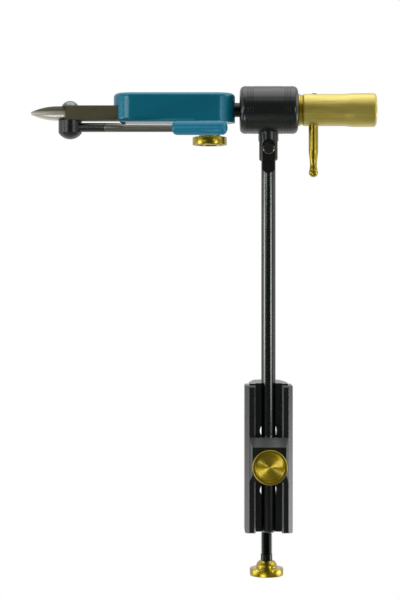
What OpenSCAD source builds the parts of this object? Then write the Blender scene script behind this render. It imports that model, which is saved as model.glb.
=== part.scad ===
// Rotary fly tying vise on a table clamp. Millimetres, +Z up, +X towards the handle.
// The row's origin lies on the table face of the clamp, above the clamp screw.
// Inside the modules X 0, Y 0 is the stem's axis, and in_frame() carries it to its place.

/* [Stem] */
// Diameter of the stem rod
stem_d = 9.525; // [9:0.005:9.8]
// Height of the tilt pivot above the table face
pivot_h = 169.9; // [120:0.1:260]
// How far the stem reaches below the table face
stem_below = 85.2; // [60:0.1:120]
// Chamfer at the stem's lower end
stem_chamfer = 0.8; // [0.2:0.1:2]
// Thickness of the flat tongue at the stem's top
tongue_t = 4.76; // [3.5:0.01:5.5]
// From the pivot down to the centre of the cutter's round run-out
tongue_drop = 11.4; // [10.5:0.1:20]

/* [Table clamp] */
// Width of the clamp's spine
clamp_w = 31.75; // [30:0.05:40]
// Thickness of the upper arm
arm_t = 14; // [10:0.5:20]
// Clear height of the throat
throat_h = 66; // [62:0.5:90]
// Thickness of the lower arm
lower_arm_t = 18.8; // [12:0.1:25]
// From the stem's axis forward to the spine's front face
spine_front = 10; // [9:0.5:12]
// From the stem's axis back to the throat
spine_back = 12; // [9:0.5:16]
// From the stem's axis back to the clamp screw's axis
screw_reach = 34; // [30:0.5:50]
// Width of both arms where they leave the spine
arm_w = 25.4; // [22:0.1:26]
// Radius of the arms' round noses
nose_r = 9.5; // [8.5:0.5:11]
// How far the upper arm's top stands past the spine's top
block_drop = 1; // [0.5:0.1:2]
// Chamfer on the spine's upright front corners
corner_chamfer = 2.9; // [1:0.1:3.2]
// Rounding along the spine's top front edge
brow_r = 2.5; // [1:0.1:4]
// Rounding of the spine's other front edges
edge_r = 0.9; // [0.4:0.1:2]
// Fillet in the throat's inner corners
throat_r = 3; // [1:0.5:5]
// Width of the front groove in which the stem lies
groove_w = 17.5; // [15:0.1:19]
// From the stem's axis forward to the groove's floor
groove_floor = 1.2; // [0.5:0.1:3]
// Chamfer along the groove's mouth
groove_mouth = 1; // [0.3:0.1:2]
// Diameter of the two relief holes behind the stem
relief_d = 11.3; // [9.6:0.1:13]
// Depth of the upper relief hole below the table face
relief_high = 17.7; // [14:0.1:20]
// Depth of the lower relief hole below the table face
relief_low = 57.5; // [55:0.1:60]

/* [Front boss] */
// How far the boss stands out of the spine
boss_out = 8; // [6:0.5:12]
// Top of the boss's foot, below the table face
boss_top = 21.5; // [18:0.1:24]
// Bottom of the boss's foot, below the table face
boss_bottom = 51; // [49:0.1:54]
// Height of the slope above the boss's face
boss_slope_h = 5.7; // [3:0.1:8]
// Width of the boss's face
boss_face_w = 22.3; // [16:0.1:24]
// Depth of the lock knob's axis below the table face
lock_drop = 39.4; // [36:0.1:42]

/* [Thumb screws] */
// Thread diameter of the lock and head screws
screw_d = 6.35; // [5.5:0.05:6.6]
// Diameter of the thumb knobs
knob_d = 22.86; // [20:0.02:24]
// Thickness of a knob's disc
knob_t = 5.4; // [4:0.1:7]
// Width of the rim round a knob's recessed face
knob_rim = 2; // [1:0.1:3]
// Depth of a knob's recessed face
knob_recess = 0.9; // [0.4:0.1:1.5]
// Rounding of a knob's edges
knob_edge_r = 0.5; // [0.3:0.1:1.2]
// Diameter of a knob's dome where it meets the disc
dome_d = 14.5; // [12:0.1:16]
// Diameter of a knob's dome at its tip
dome_tip_d = 8; // [7.5:0.1:9]
// Height of a knob's dome
dome_h = 5; // [3.5:0.1:5.8]
// How deep a screw is set into its knob
knob_bore_h = 7; // [5:0.1:8]

/* [Clamp screw] */
// Thread diameter of the clamp screw
clamp_screw_d = 7.9375; // [6.5:0.0005:8]
// Gap between the pad and the upper arm
pad_gap = 24.5; // [6:0.1:30]
// Diameter of the swivel pad
pad_d = 16; // [12:0.5:18]
// Thickness of the swivel pad's disc
pad_t = 3; // [2:0.1:4]
// Diameter of the swivel pad's socket
pad_socket_d = 9.5; // [8:0.1:11]
// Height of the swivel pad's socket
pad_socket_h = 3.5; // [2.5:0.1:4.5]
// Diameter of the screw's neck inside the pad
neck_d = 4; // [3:0.1:5]
// Length of the screw's neck
neck_h = 4.3; // [3:0.1:4.5]
// Length of the clamp screw's thread
clamp_thread_h = 74; // [68:0.1:120]
// Diameter of the collar above the bottom knob
collar_d = 7.9; // [7.4:0.1:9]
// Height of the collar above the bottom knob
collar_h = 4.1; // [2:0.1:6]

/* [Lock screw] */
// Diameter of the soft tip that presses on the stem
tip_d = 5.9; // [4.5:0.1:6]
// Length of the soft tip
tip_len = 3.6; // [3:0.1:5]
// Diameter of the screw's nose inside the tip
nose_d = 3; // [2:0.1:3.5]
// Length of the screw's nose
nose_len = 2.3; // [1.5:0.1:2.5]

/* [Hub] */
// Diameter of the hub's housing
hub_d = 31.75; // [30:0.05:38]
// From the stem's axis to the hub's head end
hub_left = 19; // [18:0.1:26]
// From the stem's axis to the hub's handle end
hub_right = 19.6; // [18:0.1:26]
// Rounding of the hub's ends
hub_round = 3.4; // [1:0.1:3.6]
// Height of the rotary axis above the tilt pivot
hub_rise = 26; // [24:0.1:32]
// From the stem's axis to the innermost fine groove
fine_groove_at = 10.6; // [7:0.1:11]
// Step between the fine grooves
fine_groove_step = 1.68; // [1.2:0.02:1.8]
// Number of fine grooves near each end
fine_groove_count = 3; // [1:1:3]
// Radius of a fine groove
fine_groove_r = 0.28; // [0.15:0.01:0.5]
// Diameter of the hub's bore between the bearings
hub_bore_d = 15; // [14:0.1:17]

/* [Clevis] */
// Diameter of the forked lug under the hub
lug_d = 13.4; // [12.2:0.05:13.5]
// How far the lug reaches below the pivot
lug_drop = 7.8; // [6.5:0.1:8.2]
// Chamfer at the lug's lower end
lug_chamfer = 0.9; // [0.3:0.1:1.5]
// Diameter of the lug's spigot inside the hub
spigot_d = 8; // [6:0.1:9]
// Height of the lug's spigot inside the hub
spigot_h = 4.5; // [3:0.1:6]
// Diameter of the pivot screw's shank
pivot_d = 4.83; // [4:0.01:5.2]
// Diameter of the pivot screw's head
pivot_head_d = 7.6; // [7:0.1:8]
// Height of the pivot screw's head
pivot_head_h = 2.6; // [2:0.1:3.5]
// Width of the hex socket across its corners
socket_d = 3.5; // [2.5:0.1:4]
// Depth of the hex socket
socket_h = 1.6; // [1:0.1:2]
// Radius of the round run-out of the lug's flats
flat_r = 4.15; // [4.1:0.05:4.6]
// From the lug's axis to its flats
flat_depth = 4.6; // [4.3:0.05:5]
// From the pivot up to the centre of the flats' run-out
flat_rise = 2.2; // [1:0.1:3]
// Width of the pivot nut across its corners
pivot_nut_d = 8.1; // [7:0.1:8.1]
// Thickness of the pivot nut
pivot_nut_t = 2.2; // [1.5:0.1:3]
// Thickness of a friction washer
washer_t = 0.5; // [0.3:0.05:0.7]
// Diameter of a friction washer
washer_d = 9; // [7:0.1:9.4]

/* [Bearings] */
// Outer diameter of a ball bearing
bearing_d = 22.225; // [22:0.005:22.5]
// Width of a ball bearing
bearing_w = 7.14; // [5:0.01:7.2]
// Diameter of a bearing's ball
ball_d = 3.969; // [3.5:0.001:4]
// Number of balls in a bearing
ball_count = 7; // [5:1:7]
// Radial gap between a ball and its raceway
race_gap = 0.08; // [0.05:0.01:0.12]
// Radial height of the bearing's shoulders above the pitch circle
shoulder_gap = 1.4; // [1.2:0.05:1.6]
// Thickness of a snap ring
ring_t = 1.1; // [0.8:0.05:1.3]
// Radial width of a snap ring
ring_w = 1.9; // [1.5:0.1:2.2]
// How deep a snap ring sits in its groove
ring_bite = 0.7; // [0.4:0.05:1]
// Depth of a snap ring behind the hub's end face
ring_seat = 0.8; // [0.5:0.1:1.2]

/* [Shaft and drag] */
// Diameter of the rotor shaft
shaft_d = 9.525; // [9.4:0.005:9.6]
// How far the shaft reaches into the head
shaft_in_head = 29.75; // [24:0.05:32]
// How far the shaft reaches into the handle
shaft_in_handle = 41; // [30:0.5:44]
// Depth of the flat under the head screw
shaft_flat = 0.35; // [0.2:0.05:0.6]
// Length of the flat under the head screw
shaft_flat_len = 22; // [16:0.5:24]
// Outer diameter of the clip in front of the bearing
clip_d = 12.6; // [12:0.1:13]
// Depth of the clip's groove in the shaft
clip_bite = 0.6; // [0.3:0.05:0.8]
// Diameter of the thrust flange
flange_d = 21.4; // [18:0.1:22]
// Thickness of the thrust flange
flange_t = 1.5; // [1:0.1:2.5]
// Diameter of the thrust flange's boss on the inner ring
flange_boss_d = 12.4; // [11:0.1:13]
// Width of the dark gap that holds the drag springs
drag_gap = 1.2; // [1.2:0.1:2]
// Outer diameter of the drag springs
drag_d = 20; // [16:0.1:20.4]
// Sheet thickness of a drag spring
drag_sheet = 0.4; // [0.3:0.05:0.5]

/* [Handle] */
// Length of the brass handle
handle_len = 49.3; // [46:0.1:60]
// Diameter of the handle next to the hub
handle_d = 21.4; // [18:0.1:22]
// Diameter of the handle at its free end
handle_end_d = 22.5; // [22:0.1:26]
// From the handle's inner end to where it swells
swell_at = 27; // [15:0.1:30]
// Length over which the handle swells
swell_len = 8; // [2:0.1:12]
// Rounding of the handle's free end
handle_round = 2; // [0.5:0.1:4]
// Chamfer at the handle's inner end
handle_chamfer = 1; // [0.5:0.1:2]
// From the handle's inner end to its set screw
set_screw_at = 8.1; // [5:0.1:12]
// Diameter of the set screw
set_screw_d = 4; // [3:0.1:5]
// How far the set screw stands out of the handle
set_screw_out = 0.3; // [0:0.1:1.5]

/* [Finger lever] */
// From the handle's inner end to the finger lever
crank_at = 7.6; // [5:0.1:12]
// Diameter of the finger lever
crank_d = 6.4; // [5:0.1:7]
// From the rotary axis to the finger lever's end
crank_reach = 44.8; // [40:0.1:50]
// Diameter of the finger lever's waist
crank_waist_d = 4.7; // [3:0.1:5]
// Diameter of the finger lever's ball
crank_ball_d = 6.3; // [5.6:0.1:8]
// From the lever's end to its waist
crank_waist_at = 8.6; // [8:0.1:12]
// From the lever's end to where it starts to narrow
crank_taper_at = 18.4; // [14:0.1:22]
// Diameter of the lever's thread in the handle
crank_thread_d = 4; // [3:0.1:4.5]

/* [Head] */
// Length of the head
head_len = 80.75; // [76:0.05:100]
// Width of the head, twice its end radius
head_w = 25.4; // [24:0.1:32]
// Height of the head
head_h = 19.6; // [18.5:0.1:26]
// From the rotary axis down to the head's underside
head_below = 8.7; // [8.6:0.1:8.8]
// Gap between the hub and the head
head_gap = 3.25; // [2.8:0.05:8]
// Rounding of the head's edges
head_edge_r = 2.7; // [0.5:0.1:3.2]
// Length of the head's square-edged foot
foot_len = 27; // [16:0.5:32]
// Side gap between a jaw and the head's channel
channel_side = 0.42; // [0.35:0.01:1]
// How far the channel is open below, from the head's tip
mouth_len = 8; // [4:0.5:12]
// From the head's handle end to the head screw
head_screw_at = 16.85; // [13:0.05:17]

/* [Jaws] */
// Height of the jaws
jaw_h = 9.525; // [9:0.005:9.6]
// Thickness of one jaw
jaw_t = 7.9375; // [7:0.0005:8]
// From the rotary axis down to the jaws' axis
jaw_drop = 2.3; // [2.2:0.1:2.4]
// From the head's tip to the jaws' tip
jaw_reach = 55; // [48:0.1:80]
// Length of the turned and polished nose
jaw_nose_len = 23.5; // [19:0.1:25]
// Length of the nose's curved point
ogive_len = 17.5; // [12:0.1:18]
// Radius of the nose at its very tip
jaw_tip_r = 0.9; // [0.6:0.1:1.5]
// Chamfer along the jaw bars' outer edges
jaw_chamfer = 0.5; // [0.2:0.1:1]
// Half of the slit between the jaws
jaw_slit = 0.25; // [0.1:0.05:0.4]
// Length over which the jaws bite
bite_len = 7; // [3:0.5:10]
// Half of the gap between the closed jaws' tips
bite_gap = 0.03; // [0.02:0.01:0.05]
// From the head's tip back to the jaws' pins
jaw_pin_at = 33; // [30:0.5:36]
// From the jaws' pins back to the jaws' tails
jaw_tail = 10; // [8:0.5:11]
// Diameter of a jaw's pin
jaw_pin_d = 3.175; // [2:0.005:4]
// Depth of the jaws' pins in the head's roof
jaw_pin_h = 4; // [2:0.5:6]
// Diameter of the jaw spring
jaw_spring_d = 3.6; // [2.5:0.1:4]
// Length of the jaw spring
jaw_spring_len = 5.4; // [3:0.1:7]

/* [Cam post] */
// From the head's tip forward to the cam post
cam_at = 29; // [28:0.1:31]
// Diameter of the cam post's barrel
barrel_d = 15.6; // [12:0.1:16]
// Height of the barrel's straight part
barrel_h = 8; // [7:0.1:10]
// Height of the barrel's domed end
barrel_dome_h = 4.4; // [2:0.1:6]
// Radius of the cam
cam_r = 3.2; // [2.8:0.1:3.2]
// Half of the cam's width across its flats
cam_flat = 2; // [1.6:0.1:2]
// Half of the length of the notch round the cam
cam_notch = 3.35; // [3.35:0.05:4]
// Diameter of the domed cap
cap_d = 11.2; // [9:0.1:13]
// Height of the domed cap
cap_h = 3.5; // [2.5:0.1:4.5]
// Diameter of the cam's stud inside the cap
cap_stud_d = 3.4; // [2:0.1:3.8]

/* [Squeeze lever] */
// Angle at which the lever stands off the head
lever_angle = 22; // [21:1:30]
// How steeply the lever falls towards its grip, in degrees
lever_fall = 1.7; // [0:0.1:3]
// From the jaws' axis down to the lever's axis at the cam post
lever_drop = 9.35; // [9.2:0.05:10]
// Diameter of the lever's socket
lever_socket_d = 6.1; // [5.4:0.1:6.2]
// From the cam post's axis to the socket's end
lever_socket_end = 26; // [20:0.1:28]
// Diameter of the lever's rod next to its socket
rod_thick_d = 6; // [5.2:0.1:6.2]
// Diameter of the lever's rod next to its grip
rod_d = 4.76; // [4:0.01:5]
// From the cam post's axis to where the rod starts to narrow
rod_taper_at = 34; // [30:0.1:40]
// Length over which the rod narrows, its underside staying straight
rod_taper_len = 8.5; // [4:0.5:15]
// From the cam post's axis to the grip
grip_at = 74; // [60:0.5:80]
// Length of the grip
grip_len = 37.8; // [30:0.1:50]
// Diameter of the grip
grip_d = 9.4; // [8:0.1:9.6]
// How far the grip's axis lies above the rod's
grip_rise = 0.3; // [0:0.1:1]
// Rounding of the grip's ends
grip_round = 3.6; // [2:0.1:3.9]

/* [Fits] */
// Radial gap of a turning or sliding fit
run_fit = 0.05; // [0.03:0.01:0.08]
// Radial gap of a fixed fit
seat_fit = 0.01; // [0.01:0.005:0.02]
// Gap between faces that move past each other
face_gap = 0.1; // [0.05:0.01:0.15]
// Gap between a screw's tip and what it presses on
touch_gap = 0.05; // [0.03:0.01:0.08]

/* [Hidden] */

// Facets of the round shapes
$fn = 96;
// Steps of an arc in an outline
arc_steps = 12;
// Steps of the taper in the lever's rod, and sides of the rod
rod_steps = 8;
rod_sides = 32;
// How far a cut runs past the surface it opens
overrun = 1;

// Colours
black_anodised = [0.12, 0.13, 0.125];
blackened_steel = [0.17, 0.18, 0.17];
brass_gold = [0.62, 0.53, 0.16];
teal_anodised = [0.02, 0.35, 0.44];
teal_dip = [0.09, 0.47, 0.57];
polished_steel = [0.72, 0.71, 0.66];
oxide_steel = [0.25, 0.26, 0.19];
bare_steel = [0.6, 0.6, 0.58];

// Heights
clamp_below = throat_h + lower_arm_t;
clamp_bottom = -clamp_below;
block_top = arm_t - block_drop;
axis_z = pivot_h + hub_rise;
jaw_z = axis_z - jaw_drop;
head_bottom = axis_z - head_below;
lever_z = jaw_z - lever_drop;

// Places along X
head_right = -hub_left - head_gap;
head_left = head_right - head_len;
head_r = head_w / 2;
jaw_tip_x = head_left - jaw_reach;
jaw_pin_x = head_left + jaw_pin_at;
jaw_tail_x = jaw_pin_x + jaw_tail;
jaw_shoulder_x = jaw_tip_x + jaw_nose_len;
jaw_pin_y = jaw_t / 2;
cam_x = head_left - cam_at;
head_screw_x = head_right - head_screw_at;
shaft_left = head_right - shaft_in_head;
flange_x = hub_right + face_gap;
drag_x = flange_x + flange_t;
handle_x = drag_x + drag_gap;
shaft_right = handle_x + shaft_in_handle;
set_screw_x = handle_x + set_screw_at;
crank_x = handle_x + crank_at;
crank_seat = handle_d / 2 - crank_d / 10;

// Bearing circles
pitch_r = (bearing_d + shaft_d) / 4;
race_r = ball_d / 2 + race_gap;
pocket_depth = ring_seat + ring_t + bearing_w;
ring_d = bearing_d + 2 * ring_bite;

// Clevis slot
slot_half = tongue_t / 2 + touch_gap + washer_t;
slot_top = pivot_h + stem_d / 2 + lug_drop / 16;

// Clamp screw places
pad_h = pad_t + pad_socket_h;
screw_shoulder = -pad_gap - pad_h - face_gap;
collar_top = screw_shoulder - clamp_thread_h;
dome_tip_z = collar_top - collar_h;

// Lock screw places, measured forward from the stem's axis
tip_front = stem_d / 2 + touch_gap;
stud_front = tip_front + tip_len + touch_gap;
boss_face = spine_front + boss_out;
lock_dome = boss_face + dome_h / 8;

// Head screw places
head_dome_z = head_bottom - dome_tip_d / 2 - dome_h / 12;
flat_z = axis_z - shaft_d / 2 + shaft_flat;
dog_d = shaft_d / 3;

// Points of an arc about c, from angle a0 to a1
function arc(c, r, a0, a1) =
    [for (i = [0:arc_steps]) c + r * [cos(a0 + (a1 - a0) * i / arc_steps), sin(a0 + (a1 - a0) * i / arc_steps)]];

// Half a cosine wave from 0 to 1
function ease(t) = (1 - cos(180 * t)) / 2;

// Carries the stem's axis to its place behind the table face's centre
module in_frame() translate([0, -screw_reach, 0]) children();

// Turns a shape made along Z to lie along X, with its start at x
module along_x(x) translate([x, 0, axis_z]) rotate([0, 90, 0]) children();

// Turns a shape made along Z to point at the viewer, with its start at y
module forward(y, z) translate([0, y, z]) rotate([90, 0, 0]) children();

// Extrudes a Y-Z outline to a width in X
module side_prism(w) rotate([90, 0, 90]) linear_extrude(w, center = true) children();

// Cylinder with chamfered ends
module turned(d, h, low, high) {
    rotate_extrude()
        polygon([[0, 0], [d / 2 - low, 0], [d / 2, low], [d / 2, h - high], [d / 2 - high, h], [0, h]]);
}

// Ring with a bore
module ring(d, bore, h) {
    difference() {
        cylinder(d = d, h = h);
        translate([0, 0, -overrun]) cylinder(d = bore, h = h + 2 * overrun);
    }
}

// Quarter of a disc, outward and upward from the origin
module quarter(r) {
    intersection() {
        circle(r);
        square(r);
    }
}

// Half of a rectangle whose outer corners may be round
module half_profile(r, h, low, high) {
    translate([0, low]) square([r, h - low - high]);
    if (low > 0) {
        square([r - low, low]);
        translate([r - low, low]) mirror([0, 1]) quarter(low);
    }
    if (high > 0) {
        translate([0, h - high]) square([r - high, high]);
        translate([r - high, h - high]) quarter(high);
    }
}

// Clamp

// Plan of an arm: straight sides that run tangent into a round nose
module arm_plan() {
    start = -spine_front + corner_chamfer;
    half = arm_w / 2;
    far = norm([half, screw_reach - spine_back]);
    lean = atan2(spine_back - screw_reach, half) + acos(nose_r / far);
    tangent = nose_r * [cos(lean), sin(lean)] + [0, screw_reach];
    polygon([
        [-half, start], [half, start], [half, spine_back], tangent,
        [-tangent[0], tangent[1]], [-half, spine_back]
    ]);
    translate([0, screw_reach]) circle(nose_r);
}

// Spine with chamfered upright corners and rounded top
module clamp_spine() {
    half = clamp_w / 2;
    intersection() {
        translate([0, 0, -clamp_below]) linear_extrude(clamp_below + block_top)
            polygon([
                [-half, spine_back - edge_r], [-half, -spine_front + corner_chamfer],
                [-half + corner_chamfer, -spine_front], [half - corner_chamfer, -spine_front],
                [half, -spine_front + corner_chamfer], [half, spine_back - edge_r],
                [half - edge_r, spine_back], [-half + edge_r, spine_back]
            ]);
        side_prism(clamp_w)
            polygon(concat(
                [[spine_back, block_top], [spine_back, -clamp_below]],
                arc([-spine_front + edge_r, -clamp_below + edge_r], edge_r, 270, 180),
                arc([-spine_front + brow_r, block_top - brow_r], brow_r, 180, 90)
            ));
        translate([0, spine_back, 0]) rotate([90, 0, 0]) linear_extrude(spine_front + spine_back)
            polygon(concat(
                arc([half - edge_r, -clamp_below + edge_r], edge_r, 270, 360),
                arc([half - edge_r, block_top - edge_r], edge_r, 0, 90),
                arc([edge_r - half, block_top - edge_r], edge_r, 90, 180),
                arc([edge_r - half, -clamp_below + edge_r], edge_r, 180, 270)
            ));
    }
}

// Two arms with filleted throat corners
module clamp_arms() {
    linear_extrude(arm_t) arm_plan();
    translate([0, 0, clamp_bottom]) linear_extrude(-throat_h - clamp_bottom) arm_plan();
    for (level = [0, -throat_h])
        side_prism(arm_w)
            difference() {
                translate([spine_back - throat_r, level == 0 ? -throat_r : level])
                    square([2 * throat_r, throat_r]);
                translate([spine_back + throat_r, level == 0 ? -throat_r : level + throat_r])
                    circle(throat_r);
            }
}

// Groove in which the stem lies, with a chamfered mouth
module clamp_groove() {
    half = groove_w / 2;
    mouth = half + groove_mouth;
    translate([0, 0, clamp_bottom - overrun]) linear_extrude(arm_t - clamp_bottom + 2 * overrun)
        polygon([
            [-half, -groove_floor], [-half, -spine_front + groove_mouth], [-mouth, -spine_front],
            [-mouth, -spine_front - overrun], [mouth, -spine_front - overrun], [mouth, -spine_front],
            [half, -spine_front + groove_mouth], [half, -groove_floor]
        ]);
}

// Boss that bridges the groove, with sloped sides, top and underside
module clamp_boss() {
    foot = clamp_w / 2 - corner_chamfer;
    face = boss_face_w / 2;
    slope = boss_slope_h;
    intersection() {
        translate([0, 0, -boss_bottom]) linear_extrude(boss_bottom - boss_top)
            polygon([
                [-foot, 0], [-foot, -spine_front], [-face, -boss_face],
                [face, -boss_face], [foot, -spine_front], [foot, 0]
            ]);
        side_prism(clamp_w)
            polygon([
                [0, -boss_top], [-spine_front, -boss_top], [-boss_face, -boss_top - slope],
                [-boss_face, -boss_bottom + slope], [-spine_front, -boss_bottom], [0, -boss_bottom]
            ]);
    }
}

module clamp_body() {
    clamp_bore_h = -throat_h - clamp_bottom + 2 * overrun;
    color(black_anodised) in_frame() difference() {
        union() {
            difference() {
                union() {
                    clamp_spine();
                    clamp_arms();
                }
                clamp_groove();
            }
            clamp_boss();
        }
        translate([0, 0, clamp_bottom - overrun])
            cylinder(d = stem_d + 2 * run_fit, h = arm_t - clamp_bottom + 2 * overrun);
        translate([0, screw_reach, clamp_bottom - overrun])
            cylinder(d = clamp_screw_d + 2 * run_fit, h = clamp_bore_h);
        forward(0, -lock_drop) cylinder(d = screw_d + 2 * run_fit, h = boss_face + overrun);
        for (drop = [relief_high, relief_low])
            forward(spine_back + overrun, -drop)
                cylinder(d = relief_d, h = spine_back + groove_floor + 2 * overrun);
    }
}

// Thumb knob, made with its dome's tip at Z 0 and its face below
module thumb_knob() {
    tip_r = dome_tip_d / 2;
    swell = (dome_d - dome_tip_d) / 2;
    dome = [for (i = [0:arc_steps]) let (a = 90 * i / arc_steps)
        [tip_r + swell * cos(a), knob_t + dome_h * sin(a)]];
    color(brass_gold) translate([0, 0, -knob_t - dome_h]) difference() {
        rotate_extrude() difference() {
            union() {
                half_profile(knob_d / 2, knob_t, knob_edge_r, knob_edge_r);
                polygon(concat([[0, knob_t - overrun], [dome_d / 2, knob_t - overrun]], dome,
                    [[0, knob_t + dome_h]]));
            }
            translate([0, -overrun]) square([knob_d / 2 - knob_rim, knob_recess + overrun]);
        }
        translate([0, 0, knob_t + dome_h - knob_bore_h])
            cylinder(d = screw_d + 2 * seat_fit, h = knob_bore_h + overrun);
    }
}

// Lock screw on the front boss

module lock_tip() {
    color(brass_gold) in_frame() forward(-tip_front, -lock_drop) difference() {
        cylinder(d = tip_d, h = tip_len);
        translate([0, 0, tip_len - nose_len - touch_gap])
            cylinder(d = nose_d + 2 * run_fit, h = nose_len + touch_gap + overrun);
    }
}

module lock_screw() {
    color(blackened_steel) in_frame() {
        forward(-stud_front, -lock_drop) cylinder(d = screw_d, h = lock_dome + knob_bore_h - stud_front);
        forward(-stud_front + nose_len, -lock_drop) cylinder(d = nose_d, h = nose_len);
    }
}

module lock_knob() {
    in_frame() forward(-lock_dome, -lock_drop) mirror([0, 0, 1]) thumb_knob();
}

// Clamp screw with its swivel pad

module swivel_pad() {
    color(blackened_steel) translate([0, 0, -pad_gap - pad_h]) difference() {
        union() {
            cylinder(d = pad_socket_d, h = pad_socket_h);
            translate([0, 0, pad_socket_h]) turned(pad_d, pad_t, pad_t / 5, pad_t / 5);
        }
        translate([0, 0, -overrun])
            cylinder(d = neck_d + 2 * run_fit, h = neck_h + face_gap + overrun);
    }
}

module clamp_screw() {
    color(blackened_steel) {
        translate([0, 0, screw_shoulder - overrun]) cylinder(d = neck_d, h = neck_h + overrun);
        translate([0, 0, collar_top]) cylinder(d = clamp_screw_d, h = clamp_thread_h);
        translate([0, 0, dome_tip_z - knob_bore_h])
            cylinder(d = screw_d, h = knob_bore_h + collar_h + overrun);
    }
}

module screw_collar() {
    color(blackened_steel) translate([0, 0, dome_tip_z]) ring(collar_d, screw_d + 2 * seat_fit, collar_h);
}

module screw_knob() {
    translate([0, 0, dome_tip_z]) thumb_knob();
}

// Stem with a milled tongue for the clevis

module stem() {
    color(blackened_steel) in_frame() difference() {
        intersection() {
            translate([0, 0, -stem_below])
                turned(stem_d, stem_below + pivot_h + stem_d, stem_chamfer, 0);
            union() {
                translate([-stem_d, -stem_d, -stem_below])
                    cube([2 * stem_d, 2 * stem_d, stem_below + pivot_h]);
                forward(stem_d, pivot_h) cylinder(d = stem_d, h = 2 * stem_d);
            }
        }
        for (side = [0, 1]) mirror([0, side, 0]) {
            translate([-stem_d, tongue_t / 2, pivot_h - tongue_drop])
                cube([2 * stem_d, stem_d, tongue_drop + stem_d]);
            translate([0, tongue_t / 2, pivot_h - tongue_drop]) rotate([-90, 0, 0])
                cylinder(d = stem_d, h = stem_d);
        }
        forward(stem_d, pivot_h) cylinder(d = pivot_d + 2 * run_fit, h = 2 * stem_d);
    }
}

// Hub and clevis

module hub_housing() {
    hub_len = hub_left + hub_right;
    color(black_anodised) in_frame() difference() {
        along_x(-hub_left) rotate_extrude() half_profile(hub_d / 2, hub_len, hub_round, hub_round);
        along_x(-hub_left - overrun) cylinder(d = hub_bore_d, h = hub_len + 2 * overrun);
        along_x(-hub_left - overrun) cylinder(d = bearing_d + 2 * seat_fit, h = pocket_depth + overrun);
        along_x(hub_right - pocket_depth)
            cylinder(d = bearing_d + 2 * seat_fit, h = pocket_depth + overrun);
        for (x = [-hub_left + ring_seat, hub_right - ring_seat - ring_t])
            along_x(x) cylinder(d = ring_d + 2 * seat_fit, h = ring_t);
        for (side = [-1, 1], i = [0:fine_groove_count - 1])
            along_x(side * (fine_groove_at + i * fine_groove_step))
                rotate_extrude() translate([hub_d / 2, 0]) circle(fine_groove_r, $fn = 24);
        translate([0, 0, axis_z - hub_d / 2 - overrun])
            cylinder(d = spigot_d + 2 * seat_fit, h = spigot_h + overrun);
    }
}

module hub_clevis() {
    lug_bottom = pivot_h - lug_drop;
    color(black_anodised) in_frame() difference() {
        union() {
            difference() {
                translate([0, 0, lug_bottom]) turned(lug_d, axis_z - lug_bottom, lug_chamfer, 0);
                along_x(-lug_d) cylinder(d = hub_d, h = 2 * lug_d);
            }
            translate([0, 0, axis_z - hub_d / 2 - lug_chamfer])
                cylinder(d = spigot_d, h = spigot_h + lug_chamfer);
        }
        translate([-lug_d, -slot_half, lug_bottom - overrun])
            cube([2 * lug_d, 2 * slot_half, slot_top - lug_bottom + overrun]);
        for (side = [0, 1]) mirror([0, side, 0]) {
            translate([0, flat_depth, pivot_h + flat_rise]) rotate([-90, 0, 0])
                cylinder(r = flat_r, h = lug_d);
            translate([-flat_r, flat_depth, lug_bottom - overrun])
                cube([2 * flat_r, lug_d, lug_drop + flat_rise + overrun]);
        }
        forward(lug_d, pivot_h) cylinder(d = pivot_d + 2 * seat_fit, h = 2 * lug_d);
    }
}

module pivot_screw() {
    head_front = flat_depth + pivot_head_h;
    color(blackened_steel) in_frame() difference() {
        union() {
            forward(-flat_depth, pivot_h) turned(pivot_head_d, pivot_head_h, 0, pivot_head_h / 6);
            forward(flat_depth + pivot_nut_t, pivot_h)
                cylinder(d = pivot_d, h = 2 * flat_depth + pivot_nut_t + pivot_head_h / 2);
        }
        forward(-head_front + socket_h, pivot_h) cylinder(d = socket_d, h = socket_h + overrun, $fn = 6);
    }
}

module pivot_nut() {
    color(blackened_steel) in_frame() forward(flat_depth + pivot_nut_t, pivot_h) difference() {
        cylinder(d = pivot_nut_d, h = pivot_nut_t, $fn = 6);
        translate([0, 0, -overrun])
            cylinder(d = pivot_d + 2 * seat_fit, h = pivot_nut_t + 2 * overrun);
    }
}

module pivot_washers() {
    color(brass_gold) in_frame()
        for (y = [slot_half, washer_t - slot_half])
            forward(y, pivot_h) ring(washer_d, pivot_d + 2 * seat_fit, washer_t);
}

// Ball bearings

// Places a child at the start of each bearing
module at_bearings() {
    for (x = [-hub_left + ring_seat + ring_t, hub_right - pocket_depth])
        along_x(x) children();
}

module bearing_outer_rings() {
    inner = pitch_r + shoulder_gap;
    color(bare_steel) in_frame() at_bearings() rotate_extrude() difference() {
        translate([inner, 0]) square([bearing_d / 2 - inner, bearing_w]);
        translate([pitch_r, bearing_w / 2]) circle(race_r);
    }
}

module bearing_inner_rings() {
    bore_r = shaft_d / 2 + seat_fit;
    color(bare_steel) in_frame() at_bearings() rotate_extrude() difference() {
        translate([bore_r, 0]) square([pitch_r - shoulder_gap - bore_r, bearing_w]);
        translate([pitch_r, bearing_w / 2]) circle(race_r);
    }
}

module bearing_balls() {
    color(polished_steel) in_frame() at_bearings()
        for (i = [0:ball_count - 1])
            rotate([0, 0, 360 * i / ball_count]) translate([pitch_r, 0, bearing_w / 2])
                sphere(d = ball_d, $fn = 32);
}

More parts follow.
